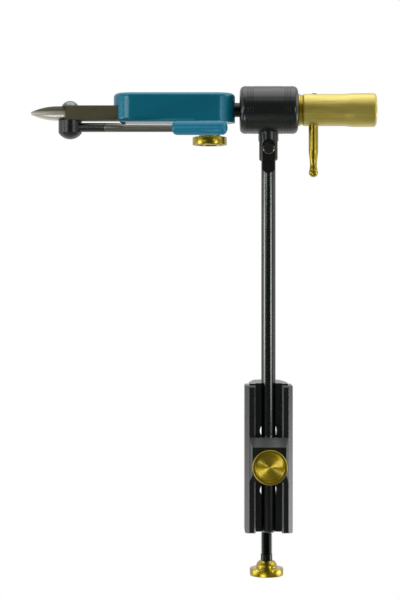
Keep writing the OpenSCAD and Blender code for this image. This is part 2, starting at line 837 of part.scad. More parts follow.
// Open spring ring with two eyes at its gap
module snap_ring() {
    eye_r = ring_w * 3 / 4;
    eye_at = ring_d / 2 - eye_r - ring_bite;
    difference() {
        union() {
            ring(ring_d, ring_d - 2 * ring_w, ring_t);
            for (a = [-1, 1]) rotate([0, 0, a * 14]) translate([eye_at, 0, 0]) cylinder(r = eye_r, h = ring_t);
        }
        rotate([0, 0, -5]) translate([0, 0, -overrun]) rotate_extrude(angle = 10)
            square([ring_d, ring_t + 2 * overrun]);
        for (a = [-1, 1]) rotate([0, 0, a * 14]) translate([eye_at, 0, -overrun])
            cylinder(r = eye_r / 2, h = ring_t + 2 * overrun);
    }
}

module snap_rings() {
    color(blackened_steel) in_frame()
        for (x = [-hub_left + ring_seat, hub_right - ring_seat - ring_t])
            along_x(x) snap_ring();
}

module bearing_spacer() {
    start = -hub_left + pocket_depth;
    color(bare_steel) in_frame() along_x(start)
        ring(flange_boss_d, shaft_d + 2 * seat_fit, hub_right - pocket_depth - start);
}

// Shaft, clip and drag

module rotor_shaft() {
    flat_x = shaft_left - overrun;
    color(blackened_steel) in_frame() difference() {
        along_x(shaft_left) turned(shaft_d, shaft_right - shaft_left, stem_chamfer, stem_chamfer);
        along_x(-hub_left + ring_seat)
            ring(2 * shaft_d, shaft_d - 2 * clip_bite, ring_t);
        translate([flat_x, -shaft_d, flat_z - shaft_d])
            cube([shaft_flat_len + overrun, 2 * shaft_d, shaft_d]);
    }
}

module shaft_clip() {
    color(blackened_steel) in_frame() along_x(-hub_left + ring_seat) difference() {
        ring(clip_d, shaft_d - 2 * clip_bite + 2 * seat_fit, ring_t);
        translate([0, -shaft_d / 4, -overrun]) cube([clip_d, shaft_d / 2, ring_t + 2 * overrun]);
    }
}

module thrust_washer() {
    boss_h = ring_seat + ring_t + face_gap;
    color(brass_gold) in_frame() difference() {
        union() {
            along_x(flange_x) turned(flange_d, flange_t, flange_t / 6, flange_t / 6);
            along_x(flange_x - boss_h) cylinder(d = flange_boss_d, h = boss_h + flange_t / 2);
        }
        along_x(flange_x - boss_h - overrun)
            cylinder(d = shaft_d + 2 * seat_fit, h = boss_h + flange_t + 2 * overrun);
    }
}

// Two coned spring washers, rim to rim
module disc_springs() {
    rise = drag_gap / 2 - drag_sheet;
    bore_r = shaft_d / 2 + run_fit;
    color(brass_gold) in_frame()
        for (side = [0, 1])
            along_x(drag_x + drag_gap / 2) mirror([0, 0, side]) rotate_extrude()
                polygon([
                    [bore_r, rise], [drag_d / 2, 0], [drag_d / 2, drag_sheet], [bore_r, rise + drag_sheet]
                ]);
}

// Handle

module handle_sleeve() {
    swell = (handle_end_d - handle_d) / 2;
    waist = [for (i = [0:arc_steps]) let (t = i / arc_steps)
        [handle_d / 2 + swell * ease(t), swell_at + swell_len * t]];
    color(brass_gold) in_frame() difference() {
        along_x(handle_x) rotate_extrude() {
            polygon(concat(
                [[0, 0], [handle_d / 2 - handle_chamfer, 0], [handle_d / 2, handle_chamfer]],
                waist,
                [[handle_end_d / 2, handle_len - handle_round],
                [handle_end_d / 2 - handle_round, handle_len - handle_round],
                [handle_end_d / 2 - handle_round, handle_len], [0, handle_len]]
            ));
            translate([handle_end_d / 2 - handle_round, handle_len - handle_round]) circle(handle_round);
        }
        along_x(handle_x - overrun)
            cylinder(d = shaft_d + 2 * seat_fit, h = shaft_in_handle + seat_fit + overrun);
        translate([set_screw_x, 0, axis_z]) cylinder(d = set_screw_d + 2 * seat_fit, h = handle_d);
        translate([crank_x, 0, axis_z - handle_d])
            cylinder(d = crank_d + 2 * seat_fit, h = handle_d - crank_seat);
        translate([crank_x, 0, axis_z - handle_d])
            cylinder(d = crank_thread_d + 2 * seat_fit, h = handle_d);
    }
}

module sleeve_set_screw() {
    low = shaft_d / 2 + touch_gap;
    high = handle_d / 2 + set_screw_out;
    color(blackened_steel) in_frame() translate([set_screw_x, 0, axis_z]) difference() {
        translate([0, 0, low]) turned(set_screw_d, high - low, 0, set_screw_d / 10);
        translate([0, 0, high - socket_h]) cylinder(d = set_screw_d / 2, h = socket_h + overrun, $fn = 6);
    }
}

// Finger lever that hangs under the handle, turned from one bar
module crank_lever() {
    ball_r = crank_ball_d / 2;
    ball_z = ball_r - crank_reach;
    neck_r = crank_waist_d / 2;
    // The flare starts just inside the ball, so that the two outlines cross
    foot_r = (ball_r - touch_gap) * sin(60);
    foot_z = ball_z + (ball_r - touch_gap) * cos(60);
    waist_z = crank_waist_at - crank_reach;
    flare = [for (i = [0:arc_steps - 1]) let (t = i / arc_steps)
        [neck_r + (foot_r - neck_r) * (1 - ease(t)), foot_z + (waist_z - foot_z) * t]];
    taper = [for (i = [0:arc_steps]) let (t = i / arc_steps)
        [neck_r + (crank_d / 2 - neck_r) * ease(t), waist_z + (crank_taper_at - crank_waist_at) * t]];
    color(brass_gold) in_frame() translate([crank_x, 0, axis_z]) rotate_extrude() {
        translate([0, ball_z]) {
            quarter(ball_r);
            mirror([0, 1]) quarter(ball_r);
        }
        polygon(concat(
            [[0, ball_z]], flare, taper,
            [[crank_d / 2, -crank_seat], [crank_thread_d / 2, -crank_seat],
            [crank_thread_d / 2, -shaft_d / 2 - touch_gap], [0, -shaft_d / 2 - touch_gap]]
        ));
    }
}

// Head

// Straight run of the head between two places along X
module head_run(x0, x1, low) {
    translate([(x0 + x1) / 2, 0, head_bottom]) side_prism(x1 - x0)
        for (side = [0, 1]) mirror([side, 0]) half_profile(head_r, head_h, low, head_edge_r);
}

module head_block() {
    foot_x = head_right - foot_len;
    translate([head_left + head_r, 0, head_bottom]) rotate_extrude()
        half_profile(head_r, head_h, head_edge_r, head_edge_r);
    head_run(head_left + head_r, foot_x, head_edge_r);
    head_run(foot_x, head_right - head_r, 0);
    translate([head_right - head_r, 0, head_bottom]) rotate_extrude()
        half_profile(head_r, head_h, 0, head_edge_r);
}

module head_body() {
    half = jaw_t + channel_side;
    low = jaw_z - jaw_h / 2 - face_gap;
    high = jaw_z + jaw_h / 2 + face_gap;
    tail = jaw_tail_x + channel_side;
    color(teal_anodised) in_frame() difference() {
        head_block();
        translate([head_left - overrun, -half, low])
            cube([tail - head_left + overrun, 2 * half, high - low]);
        translate([head_left - overrun, -half, head_bottom - overrun])
            cube([mouth_len + overrun, 2 * half, high - head_bottom + overrun]);
        along_x(shaft_left - head_gap)
            cylinder(d = shaft_d + 2 * run_fit, h = shaft_in_head + head_gap + overrun);
        translate([head_screw_x, 0, head_bottom - overrun])
            cylinder(d = screw_d + 2 * run_fit, h = head_below + overrun);
        for (y = [-jaw_pin_y, jaw_pin_y])
            translate([jaw_pin_x, y, head_bottom - overrun])
                cylinder(d = jaw_pin_d + 2 * seat_fit, h = high - head_bottom + jaw_pin_h + overrun);
    }
}

module jaw_pins() {
    top = jaw_z + jaw_h / 2 + face_gap + jaw_pin_h;
    color(bare_steel) in_frame()
        for (y = [-jaw_pin_y, jaw_pin_y])
            translate([jaw_pin_x, y, head_bottom]) cylinder(d = jaw_pin_d, h = top - head_bottom);
}

// Closing spring between the jaws' tails, as its outer shape
module jaw_spring() {
    color(bare_steel) in_frame() translate([jaw_pin_x + jaw_tail / 2, 0, 0])
        forward(jaw_spring_len / 2, jaw_z) cylinder(d = jaw_spring_d, h = jaw_spring_len);
}

module head_screw() {
    shoulder = axis_z - shaft_d / 2 - 3 * face_gap;
    low = head_dome_z - knob_bore_h;
    color(blackened_steel) in_frame() translate([head_screw_x, 0, 0]) {
        translate([0, 0, low]) cylinder(d = screw_d, h = shoulder - low);
        translate([0, 0, low]) cylinder(d = dog_d, h = flat_z - touch_gap - low);
    }
}

module head_knob() {
    in_frame() translate([head_screw_x, 0, head_dome_z]) thumb_knob();
}

// Jaws

// Turned nose of both jaws together, from the tip to the shoulder
module jaw_nose() {
    rise = jaw_h / 2 - jaw_tip_r;
    ogive_r = (pow(ogive_len, 2) + pow(rise, 2)) / (2 * rise);
    curve = [for (i = [0:2 * arc_steps]) let (u = ogive_len * i / (2 * arc_steps), v = ogive_len - u)
        [jaw_h / 2 - ogive_r + sqrt(pow(ogive_r, 2) - pow(v, 2)), u]];
    translate([jaw_tip_x, 0, jaw_z]) rotate([0, 90, 0]) rotate_extrude()
        polygon(concat([[0, 0]], curve, [[jaw_h / 2, jaw_nose_len + overrun], [0, jaw_nose_len + overrun]]));
}

// Bar of both jaws together, behind the nose, with chamfered edges
module jaw_bar() {
    half = jaw_t - jaw_chamfer;
    high = jaw_h / 2 - jaw_chamfer;
    translate([(jaw_shoulder_x + jaw_tail_x) / 2, 0, jaw_z]) side_prism(jaw_tail_x - jaw_shoulder_x)
        polygon([
            [-half, -jaw_h / 2], [half, -jaw_h / 2], [jaw_t, -high], [jaw_t, high],
            [half, jaw_h / 2], [-half, jaw_h / 2], [-jaw_t, high], [-jaw_t, -high]
        ]);
}

// One jaw, made on the rear side
module jaw_half() {
    far = jaw_tail_x + overrun;
    spring_x = jaw_pin_x + jaw_tail / 2;
    difference() {
        union() {
            jaw_nose();
            jaw_bar();
        }
        translate([jaw_tip_x - overrun, bite_gap - 2 * jaw_t, jaw_z - jaw_h])
            cube([far - jaw_tip_x + overrun, 2 * jaw_t, 2 * jaw_h]);
        translate([jaw_tip_x + bite_len, -jaw_t, jaw_z - jaw_h])
            cube([far - jaw_tip_x, jaw_t + jaw_slit, 2 * jaw_h]);
        translate([jaw_pin_x, -jaw_t, jaw_z - jaw_h])
            cube([far - jaw_pin_x, jaw_t + 3 * jaw_slit, 2 * jaw_h]);
        translate([cam_x - cam_notch, -jaw_t, jaw_z - jaw_h])
            cube([2 * cam_notch, jaw_t + cam_flat + touch_gap, 2 * jaw_h]);
        translate([jaw_pin_x, jaw_pin_y, jaw_z - jaw_h])
            cylinder(d = jaw_pin_d + 2 * run_fit, h = 2 * jaw_h);
        translate([spring_x, 0, 0]) forward(jaw_spring_len / 2 + 2 * face_gap, jaw_z)
            cylinder(d = jaw_spring_d + 6 * face_gap, h = jaw_t);
    }
}

module jaw_front() {
    color(oxide_steel) in_frame() mirror([0, 1, 0]) jaw_half();
}

module jaw_rear() {
    color(oxide_steel) in_frame() jaw_half();
}

// Cam post and its cap

// Segment of a ball with base diameter d and height h, standing on Z 0
module dome(d, h) {
    r = (d * d / 4 + h * h) / (2 * h);
    intersection() {
        translate([0, 0, h - r]) sphere(r);
        cylinder(d = d, h = h + overrun);
    }
}

module cam_post() {
    barrel_top = jaw_z - jaw_h / 2 - face_gap;
    neck_h = jaw_h + 2 * face_gap - seat_fit;
    color(black_anodised) in_frame() translate([cam_x, 0, barrel_top]) difference() {
        union() {
            translate([0, 0, -barrel_h]) cylinder(d = barrel_d, h = barrel_h);
            translate([0, 0, -barrel_h]) mirror([0, 0, 1]) dome(barrel_d, barrel_dome_h);
            intersection() {
                translate([0, 0, -overrun]) cylinder(r = cam_r, h = neck_h + overrun);
                translate([-cam_r, -cam_flat, -overrun])
                    cube([2 * cam_r, 2 * cam_flat, neck_h + overrun]);
            }
            cylinder(d = cap_stud_d, h = neck_h + cap_h / 2);
        }
        translate([0, 0, lever_z - barrel_top]) rotate([0, 90 + lever_fall, -lever_angle])
            translate([0, 0, barrel_d / 4]) cylinder(d = lever_socket_d + 2 * seat_fit, h = barrel_d);
    }
}

module cam_cap() {
    color(blackened_steel) in_frame()
        translate([cam_x, 0, jaw_z + jaw_h / 2 + face_gap]) difference() {
            dome(cap_d, cap_h);
            translate([0, 0, -overrun])
                cylinder(d = cap_stud_d + 2 * seat_fit, h = cap_h / 2 + seat_fit + overrun);
        }
}

// Squeeze lever

// Lays a shape made along X on the lever's line
module on_lever() in_frame()
    translate([cam_x, 0, lever_z]) rotate([0, lever_fall, -lever_angle]) children();

module lever_boss() {
    start = barrel_d / 4;
    bore_at = lever_socket_end / 2;
    color(black_anodised) on_lever() rotate([0, 90, 0]) difference() {
        translate([0, 0, start]) turned(lever_socket_d, lever_socket_end - start, 0, rod_d / 12);
        translate([0, 0, bore_at])
            cylinder(d = rod_d + 2 * seat_fit, h = lever_socket_end - bore_at + overrun);
    }
}

// Round rod as rings, each with its distance and radius, on a straight underside past its tail
module lever_rod() {
    thick = rod_thick_d / 2;
    thin = rod_d / 2;
    shoulder = lever_socket_end + touch_gap;
    line = concat(
        [[lever_socket_end / 2, thin, 0], [shoulder, thin, 0], [shoulder, thick, 0]],
        [for (i = [0:rod_steps]) let (t = i / rod_steps, r = thick + (thin - thick) * ease(t))
            [rod_taper_at + rod_taper_len * t, r, r - thick]],
        [[grip_at + grip_len - grip_d, thin, thin - thick]]
    );
    points = [for (p = line, k = [0:rod_sides - 1]) let (a = 360 * k / rod_sides)
        [p[0], p[1] * sin(a), p[2] + p[1] * cos(a)]];
    walls = [for (i = [0:len(line) - 2], k = [0:rod_sides - 1])
        let (a = i * rod_sides + k, b = i * rod_sides + (k + 1) % rod_sides)
        each [[a, a + rod_sides, b], [b, a + rod_sides, b + rod_sides]]];
    last = (len(line) - 1) * rod_sides;
    ends = [[for (k = [0:rod_sides - 1]) k], [for (k = [rod_sides - 1:-1:0]) last + k]];
    color(polished_steel) on_lever() polyhedron(points, concat(walls, ends));
}

// Dipped grip with rounded ends and a crease near its free end
module lever_grip() {
    rod_fall = (rod_d - rod_thick_d) / 2;
    bore_h = grip_len - grip_d + seat_fit;
    color(teal_dip) on_lever() difference() {
        translate([grip_at, 0, rod_fall + grip_rise]) rotate([0, 90, 0]) rotate_extrude() difference() {
            half_profile(grip_d / 2, grip_len, grip_round, grip_round);
            translate([grip_d / 2, grip_len - grip_round]) circle(grip_d / 30, $fn = 24);
        }
        translate([grip_at - overrun, 0, rod_fall]) rotate([0, 90, 0])
            cylinder(d = rod_d + 2 * seat_fit, h = bore_h + overrun);
    }
}

clamp_body();
lock_tip();
lock_screw();
lock_knob();
swivel_pad();
clamp_screw();
screw_collar();
screw_knob();
stem();
hub_housing();
hub_clevis();
pivot_screw();
pivot_nut();
pivot_washers();
bearing_outer_rings();
bearing_balls();
snap_rings();
rotor_shaft();
bearing_inner_rings();
bearing_spacer();
shaft_clip();
thrust_washer();
disc_springs();
handle_sleeve();
sleeve_set_screw();
crank_lever();
head_body();
jaw_pins();
jaw_spring();
head_knob();
head_screw();
jaw_front();
jaw_rear();
cam_post();
cam_cap();
lever_boss();
lever_rod();
lever_grip();
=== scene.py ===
# %% [markdown]
# # A rotary fly tying vise
# The vise clamps on a table's edge and holds a fish hook in its jaws. It was designed as
# solids first, so every part already has its place and its joint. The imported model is
# loaded as a fixed frame. Its solids could all be shown as they are, but some are plain
# where the real part has a thread, turned rings or a soft skin. Only those are made again
# here, and each new piece rides on a body of the frame.

# %% Load the frame
import math

import bmesh
import bpy
from mathutils import Matrix, Vector


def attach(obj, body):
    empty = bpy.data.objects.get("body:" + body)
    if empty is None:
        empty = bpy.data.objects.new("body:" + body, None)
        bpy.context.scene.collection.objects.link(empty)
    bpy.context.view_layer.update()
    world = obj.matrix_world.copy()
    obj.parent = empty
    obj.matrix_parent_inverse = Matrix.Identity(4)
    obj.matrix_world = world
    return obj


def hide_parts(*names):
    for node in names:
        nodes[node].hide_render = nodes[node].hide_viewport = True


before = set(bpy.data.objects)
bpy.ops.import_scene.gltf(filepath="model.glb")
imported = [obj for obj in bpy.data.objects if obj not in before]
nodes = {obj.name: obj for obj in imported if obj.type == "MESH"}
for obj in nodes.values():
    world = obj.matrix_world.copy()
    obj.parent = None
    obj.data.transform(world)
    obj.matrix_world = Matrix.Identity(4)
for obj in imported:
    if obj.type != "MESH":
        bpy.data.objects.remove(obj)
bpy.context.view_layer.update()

MM = 0.001

# %% [markdown]
# ## Camera
# The photograph is level and nearly without perspective, so the camera stands well back
# with a long lens. It could be tilted down to frame the vise, but then upright edges would
# lean. So it looks level along +Y, at the height of the photograph's horizon. That horizon
# lies a little above the picture's middle, which a small shift of the lens gives.

# %% Camera
IMAGE_H = 599
HORIZON_ROW = 275
FOCAL_PX = 1801.6
SENSOR_MM = 36
CAMERA_AT_MM = (-45.56, -1234, 86)
QUARTER = math.pi / 2

lens = bpy.data.cameras.new("camera")
lens.sensor_fit = "VERTICAL"
lens.sensor_height = SENSOR_MM
lens.lens = SENSOR_MM * FOCAL_PX / IMAGE_H
lens.shift_y = (HORIZON_ROW - IMAGE_H / 2) / IMAGE_H
camera = bpy.data.objects.new("camera", lens)
camera.location = [value * MM for value in CAMERA_AT_MM]
camera.rotation_euler = (QUARTER, 0, 0)
bpy.context.scene.collection.objects.link(camera)
bpy.context.scene.camera = camera
print("lens", round(lens.lens, 1), "mm, shift", round(lens.shift_y, 4))

# %% [markdown]
# ## One function for nodes, one for colours
# Every material and the world are node trees. They could be wired by hand in the shader
# editor, but a script can be read and run again. One small function adds a node, sets its
# options and values, and links its inputs. Colours are written as sRGB hex values, as a
# colour picker shows them, and turned to the linear numbers that the renderer works with.

# %% Node and colour helpers
def add_node(tree, kind, values=None, links=None, **settings):
    node = tree.nodes.new(kind)
    for name, value in settings.items():
        setattr(node, name, value)
    for socket, value in (values or {}).items():
        node.inputs[socket].default_value = value
    for socket, source in (links or {}).items():
        tree.links.new(source, node.inputs[socket])
    return node


def linear(hex_colour):
    """The curve of the sRGB standard: a straight foot near black, then a power."""
    parts = [int(hex_colour[i:i + 2], 16) / 255 for i in (1, 3, 5)]
    return [p / 12.92 if p <= 0.04045 else ((p + 0.055) / 1.055) ** 2.4 for p in parts] + [1]


print("half grey #808080 in linear numbers:", round(linear("#808080")[0], 3))

# %% [markdown]
# ## Light
# The photograph looks as if it was taken in a light tent: pale walls behind and beside the
# vise, and soft lamps above and at both sides. The camera's own side is dim, which is why
# flat faces that look at the lens are so much darker than the edges. One even white world
# would be simpler, but metal would look flat in it, because metal shows what it mirrors. So
# mirrors see a pale wall, greyer towards its foot, and the dim side. For matt surfaces the
# world is one even level, and for the camera it is plain white.

# %% World
DIM_FRONT, PLAIN_LEVEL = 0.05, 0.52
WALL_FOOT, WALL_TOP = 0.45, 0.7
# Where a ray's direction, from -1 to 1 along Z or Y, meets these parts of the tent
FOOT_Z, TOP_Z = -0.3, 0.4
FRONT_Y, BACK_Y = -0.95, 0.2

world = bpy.data.worlds.new("light_tent")
bpy.context.scene.world = world
world.use_nodes = True
tent = world.node_tree
tent.nodes.clear()
rays = add_node(tent, "ShaderNodeLightPath")
direction = add_node(tent, "ShaderNodeTexCoord")
sides = add_node(
    tent, "ShaderNodeSeparateXYZ", links={"Vector": direction.outputs["Generated"]})
back = add_node(
    tent, "ShaderNodeMapRange",
    {"From Min": FOOT_Z, "From Max": TOP_Z, "To Min": WALL_FOOT, "To Max": WALL_TOP},
    {"Value": sides.outputs["Z"]})
wall = add_node(
    tent, "ShaderNodeMapRange",
    {"From Min": FRONT_Y, "From Max": BACK_Y, "To Min": DIM_FRONT},
    {"Value": sides.outputs["Y"], "To Max": back.outputs["Result"]},
    interpolation_type="SMOOTHSTEP")
mirror_ray = add_node(
    tent, "ShaderNodeMath",
    links={0: rays.outputs["Is Glossy Ray"], 1: rays.outputs["Is Transmission Ray"]},
    operation="MAXIMUM")
seen = add_node(
    tent, "ShaderNodeMix", {"A": PLAIN_LEVEL},
    {"Factor": mirror_ray.outputs[0], "B": wall.outputs["Result"]})
level = add_node(
    tent, "ShaderNodeMath",
    links={0: rays.outputs["Is Camera Ray"], 1: seen.outputs["Result"]}, operation="MAXIMUM")
background = add_node(
    tent, "ShaderNodeBackground", {"Color": (1, 1, 1, 1)}, {"Strength": level.outputs[0]})
add_node(tent, "ShaderNodeOutputWorld", links={"Surface": background.outputs[0]})
print("world nodes:", len(tent.nodes))

# %% [markdown]
# ### Lamps
# Each pale band on the metal is the mirror image of a lamp or of lit paper. A large lamp
# hangs above. At the left and the right a wide lamp stands at the vise's own height, with
# a smaller one a little higher and nearer to the camera. A weak lamp hangs above the camera
# and a large one high at the right. Two low panels stand for the lit paper that curves up
# at both sides, and a card for the lit table at the lower left. Point lamps could give the
# same amount of light, but metal would mirror them as dots. How bright an area lamp's face
# looks in a mirror is its power divided by pi and by its area. So each lamp is given the
# brightness of its face, and its power is worked out from that.

# %% Lamps
TARGET = Vector((-0.045, -0.034, 0.1))


def softbox(name, azimuth, elevation, distance, width, height, brightness):
    """A lamp that looks at the vise. Azimuth 0 is the camera's side, 90 the right."""
    a, e = math.radians(azimuth), math.radians(elevation)
    data = bpy.data.lights.new(name, "AREA")
    data.shape = "RECTANGLE"
    data.size, data.size_y = width, height
    data.energy = brightness * math.pi * width * height
    lamp = bpy.data.objects.new(name, data)
    aim = Vector((math.sin(a) * math.cos(e), -math.cos(a) * math.cos(e), math.sin(e)))
    lamp.location = TARGET + distance * aim
    lamp.rotation_euler = aim.to_track_quat("Z", "Y").to_euler()
    lamp.visible_camera = False
    bpy.context.scene.collection.objects.link(lamp)


# Name, azimuth and elevation in degrees, distance, width and height in m, brightness
LAMPS = (
    ("lamp_top", 0, 92, 1.5, 1.8, 1.6, 1.05),
    ("lamp_left", -71, -1, 1.6, 0.7, 0.34, 3.9),
    ("lamp_left_high", -38, 9, 1.6, 0.7, 0.2, 3.2),
    ("lamp_right", 43, -1, 1.6, 0.4, 0.34, 4.5),
    ("lamp_right_high", 30, 9, 1.6, 0.24, 0.2, 2.4),
    ("lamp_high", 12, 50, 1.6, 0.7, 0.3, 0.7),
    ("lamp_side", 84, 30, 1.6, 1.2, 0.9, 1.0),
    ("panel_left", -92, -15.5, 1.6, 1.0, 0.26, 2.3),
    ("panel_right", 92, -15, 1.6, 1.0, 0.3, 3.7),
    ("card_left", -24, -44, 0.72, 0.36, 0.36, 3.0))
for lamp_values in LAMPS:
    softbox(*lamp_values)

# %% [markdown]
# ## Floor
# A plain pale disc well below the vise, as a room's floor lies below a table. A square
# plane would do as well, but its corners would show in some views. The disc ends before
# the camera's view begins, so the main picture has no horizon, and it takes the soft
# shadow in the views from above.

# %% Floor
FLOOR_Z = -0.42
FLOOR_R = 1.4
FLOOR_SIDES = 96
bm = bmesh.new()
bmesh.ops.create_circle(
    bm, cap_ends=True, segments=FLOOR_SIDES, radius=FLOOR_R,
    matrix=Matrix.Translation((0, 0, FLOOR_Z)))
floor_mesh = bpy.data.meshes.new("floor")
bm.to_mesh(floor_mesh)
bm.free()
floor = bpy.data.objects.new("floor", floor_mesh)
bpy.context.scene.collection.objects.link(floor)
print("floor at", FLOOR_Z, "m")

# %% [markdown]
# The floor is matt paper. It could be lit brighter until it looks as pale as the
# background, but that light would fall on the vise too. So its pale grey glows a little,
# only for the rays that see it. In mirrors it glows less, and there both its glow and its
# colour darken towards the camera's dim side of the tent.

# %% Paper
PAPER, DIM_PAPER = "#c6c6c4", "#5c5c5a"
PAPER_ROUGHNESS, PAPER_GLOW = 0.9, 0.45
# Where along Y, in m, mirrors see the paper dimmest and palest, and its share of glow there
NEAR_Y, FAR_Y = -0.3, 0.5
NEAR_SHARE, FAR_SHARE = 0.1, 0.75

paper = bpy.data.materials.new("white_paper_floor")
paper.use_nodes = True
tree = paper.node_tree
shader = tree.nodes["Principled BSDF"]
shader.inputs["Roughness"].default_value = PAPER_ROUGHNESS
shader.inputs["Specular IOR Level"].default_value = 0
shader.inputs["Emission Color"].default_value = (1, 1, 1, 1)
rays = add_node(tree, "ShaderNodeLightPath")
mirrored = add_node(
    tree, "ShaderNodeMath",
    links={0: rays.outputs["Is Glossy Ray"], 1: rays.outputs["Is Transmission Ray"]},
    operation="MAXIMUM")
place = add_node(tree, "ShaderNodeTexCoord").outputs["Object"]
spot = add_node(tree, "ShaderNodeSeparateXYZ", links={"Vector": place})
far = add_node(
    tree, "ShaderNodeMapRange",
    {"From Min": NEAR_Y, "From Max": FAR_Y, "To Min": NEAR_SHARE, "To Max": FAR_SHARE},
    {"Value": spot.outputs["Y"]})
near = add_node(
    tree, "ShaderNodeMapRange", {"From Min": FAR_Y, "From Max": NEAR_Y},
    {"Value": spot.outputs["Y"]})
dimmed = add_node(
    tree, "ShaderNodeMath", links={0: near.outputs["Result"], 1: mirrored.outputs[0]},
    operation="MULTIPLY")
sheet = add_node(
    tree, "ShaderNodeMix", {"A": linear(PAPER), "B": linear(DIM_PAPER)},
    {"Factor": dimmed.outputs[0]}, data_type="RGBA")
tree.links.new(sheet.outputs["Result"], shader.inputs["Base Color"])
mirror_share = add_node(
    tree, "ShaderNodeMath", links={0: mirrored.outputs[0], 1: far.outputs["Result"]},
    operation="MULTIPLY")
share = add_node(
    tree, "ShaderNodeMath",
    links={0: rays.outputs["Is Camera Ray"], 1: mirror_share.outputs[0]}, operation="MAXIMUM")
glow = add_node(
    tree, "ShaderNodeMath", {1: PAPER_GLOW}, {0: share.outputs[0]}, operation="MULTIPLY")
tree.links.new(glow.outputs[0], shader.inputs["Emission Strength"])
floor.data.materials.append(paper)
print("paper nodes:", len(tree.nodes))

# %% [markdown]
# ## Materials
# Each finish starts from what the real one is and how its surface was made. A picture of
# the surface could carry it, but the solids would need unwrapping first. So each finish is
# a node tree that reads Object coordinates, which are in metres here. The first helper
# makes such a finish, and the second puts it on solids in place of their plain one.

# %% New finish
def new_finish(name, metallic=1.0):
    material = bpy.data.materials.new(name)
    material.use_nodes = True
    shader = material.node_tree.nodes["Principled BSDF"]
    shader.inputs["Metallic"].default_value = metallic
    place = add_node(material.node_tree, "ShaderNodeTexCoord").outputs["Object"]
    return material, material.node_tree, shader, place


def paint(material, *names):
    for name in names:
        mesh = nodes[name].data
        mesh.materials.clear()
        mesh.materials.append(material)
    print(material.name, "on", ", ".join(names))


print("solids with their plain finish:", len(nodes))

# %% [markdown]
# ### Patterns
# Machining, dye and wear all leave soft, uneven marks. A noise gives them, and its cells
# are sized in millimetres and stretched the way the tool or the cloth went. The noise then
# moves the roughness, the colour or the height of the surface, each by a little.

# %% Patterns
# Each seed moves its pattern by this much in m, so that no two patterns are alike
SEED_SHIFT = (0.05, 0.07, 0.11)
# Most of the noise lies between these two values
NOISE_LOW, NOISE_HIGH = 0.3, 0.7


def streaks(tree, place, size_mm, seed, turn=(0, 0, 0)):
    """Noise whose cells have this size along X, Y and Z, turned to lie along a piece."""
    cells = add_node(
        tree, "ShaderNodeMapping",
        {"Location": [seed * shift for shift in SEED_SHIFT], "Rotation": turn,
         "Scale": [size * MM for size in size_mm]},
        {"Vector": place}, vector_type="TEXTURE")
    return add_node(
        tree, "ShaderNodeTexNoise", {"Scale": 1.0, "Detail": 3.0, "Roughness": 0.6},
        {"Vector": cells.outputs["Vector"]}).outputs["Fac"]


def vary(tree, shader, socket, pattern, low, high):
    """Lets a pattern move a shader value between low and high."""
    span = add_node(
        tree, "ShaderNodeMapRange",
        {"From Min": NOISE_LOW, "From Max": NOISE_HIGH, "To Min": low, "To Max": high},
        {"Value": pattern})
    tree.links.new(span.outputs["Result"], shader.inputs[socket])


def shade(tree, shader, pattern, dark, pale):
    """Lets a pattern move the base colour between two hex values."""
    blend = add_node(
        tree, "ShaderNodeMix", {"A": linear(dark), "B": linear(pale)}, {"Factor": pattern},
        data_type="RGBA")
    tree.links.new(blend.outputs["Result"], shader.inputs["Base Color"])


def relief(tree, shader, pattern, height_mm):
    """Raises the surface by a pattern, height_mm at its brightest."""
    bump = add_node(
        tree, "ShaderNodeBump", {"Strength": 1.0, "Distance": height_mm * MM},
        {"Height": pattern})
    tree.links.new(bump.outputs["Normal"], shader.inputs["Normal"])


def coat(shader, weight, roughness):
    shader.inputs["Coat Weight"].default_value = weight
    shader.inputs["Coat Roughness"].default_value = roughness


print("noise is read from", NOISE_LOW, "to", NOISE_HIGH)

# %% [markdown]
# ### Black anodised aluminium
# The clamp, hub, fork, cam post and lever socket are aluminium whose oxide layer is dyed
# black and sealed. The seal is clear and smooth like a thin glass, so soft lamps lie on it
# as pale bands, while the dyed layer under it stays nearly black. A dark metal would turn
# those bands dark too, so this is a dark layer with no metal in it, under a clear coat. The
# layer is aluminium oxide, which bends light more than glass does. Bead blasting before the
# bath leaves a fine tooth, about 0.1 mm wide on the real one and drawn at 0.35 or 0.5 mm so
# that it shows. The clamp was extruded and the hub turned, so their tooth is stretched
# along the clamp and round the hub.

# %% Black anodised aluminium
OXIDE_IOR = 1.6
TOOTH_MM = (0.35, 0.35, 0.35)


def black_anodised(name, tooth_mm, seed):
    material, tree, shader, place = new_finish(name, metallic=0.0)
    shader.inputs["IOR"].default_value = OXIDE_IOR
    dye = streaks(tree, place, (14, 14, 22), seed)
    shade(tree, shader, dye, dark="#070f0a", pale="#0f1913")
    tooth = streaks(tree, place, tooth_mm, seed + 1)
    vary(tree, shader, "Roughness", tooth, low=0.24, high=0.28)
    relief(tree, shader, tooth, height_mm=0.0006)
    coat(shader, weight=0.5, roughness=0.24)
    return material


clamp_black = black_anodised("anodised_aluminium_clamp", tooth_mm=(0.5, 0.5, 8), seed=1)
hub_black = black_anodised("anodised_aluminium_hub", tooth_mm=(0.35, 6, 6), seed=2)
small_black = black_anodised("anodised_aluminium_small", tooth_mm=TOOTH_MM, seed=3)
paint(clamp_black, "clamp_body")
paint(hub_black, "hub_housing")
paint(small_black, "hub_clevis", "cam_post", "lever_boss")

# %% [markdown]
# ### Teal anodised aluminium
# The head is the same metal in a teal dye, which is more transparent than black: the
# metal under it still mirrors a little, so the colour is deep where it looks at the dim
# side and pale where the seal mirrors a lamp. Neither a paint nor a bare metal does both,
# so the shader is half metal under a full clear coat. Dye and seal bend light alike, so
# nearly all of the white gloss comes from the seal's outer face.

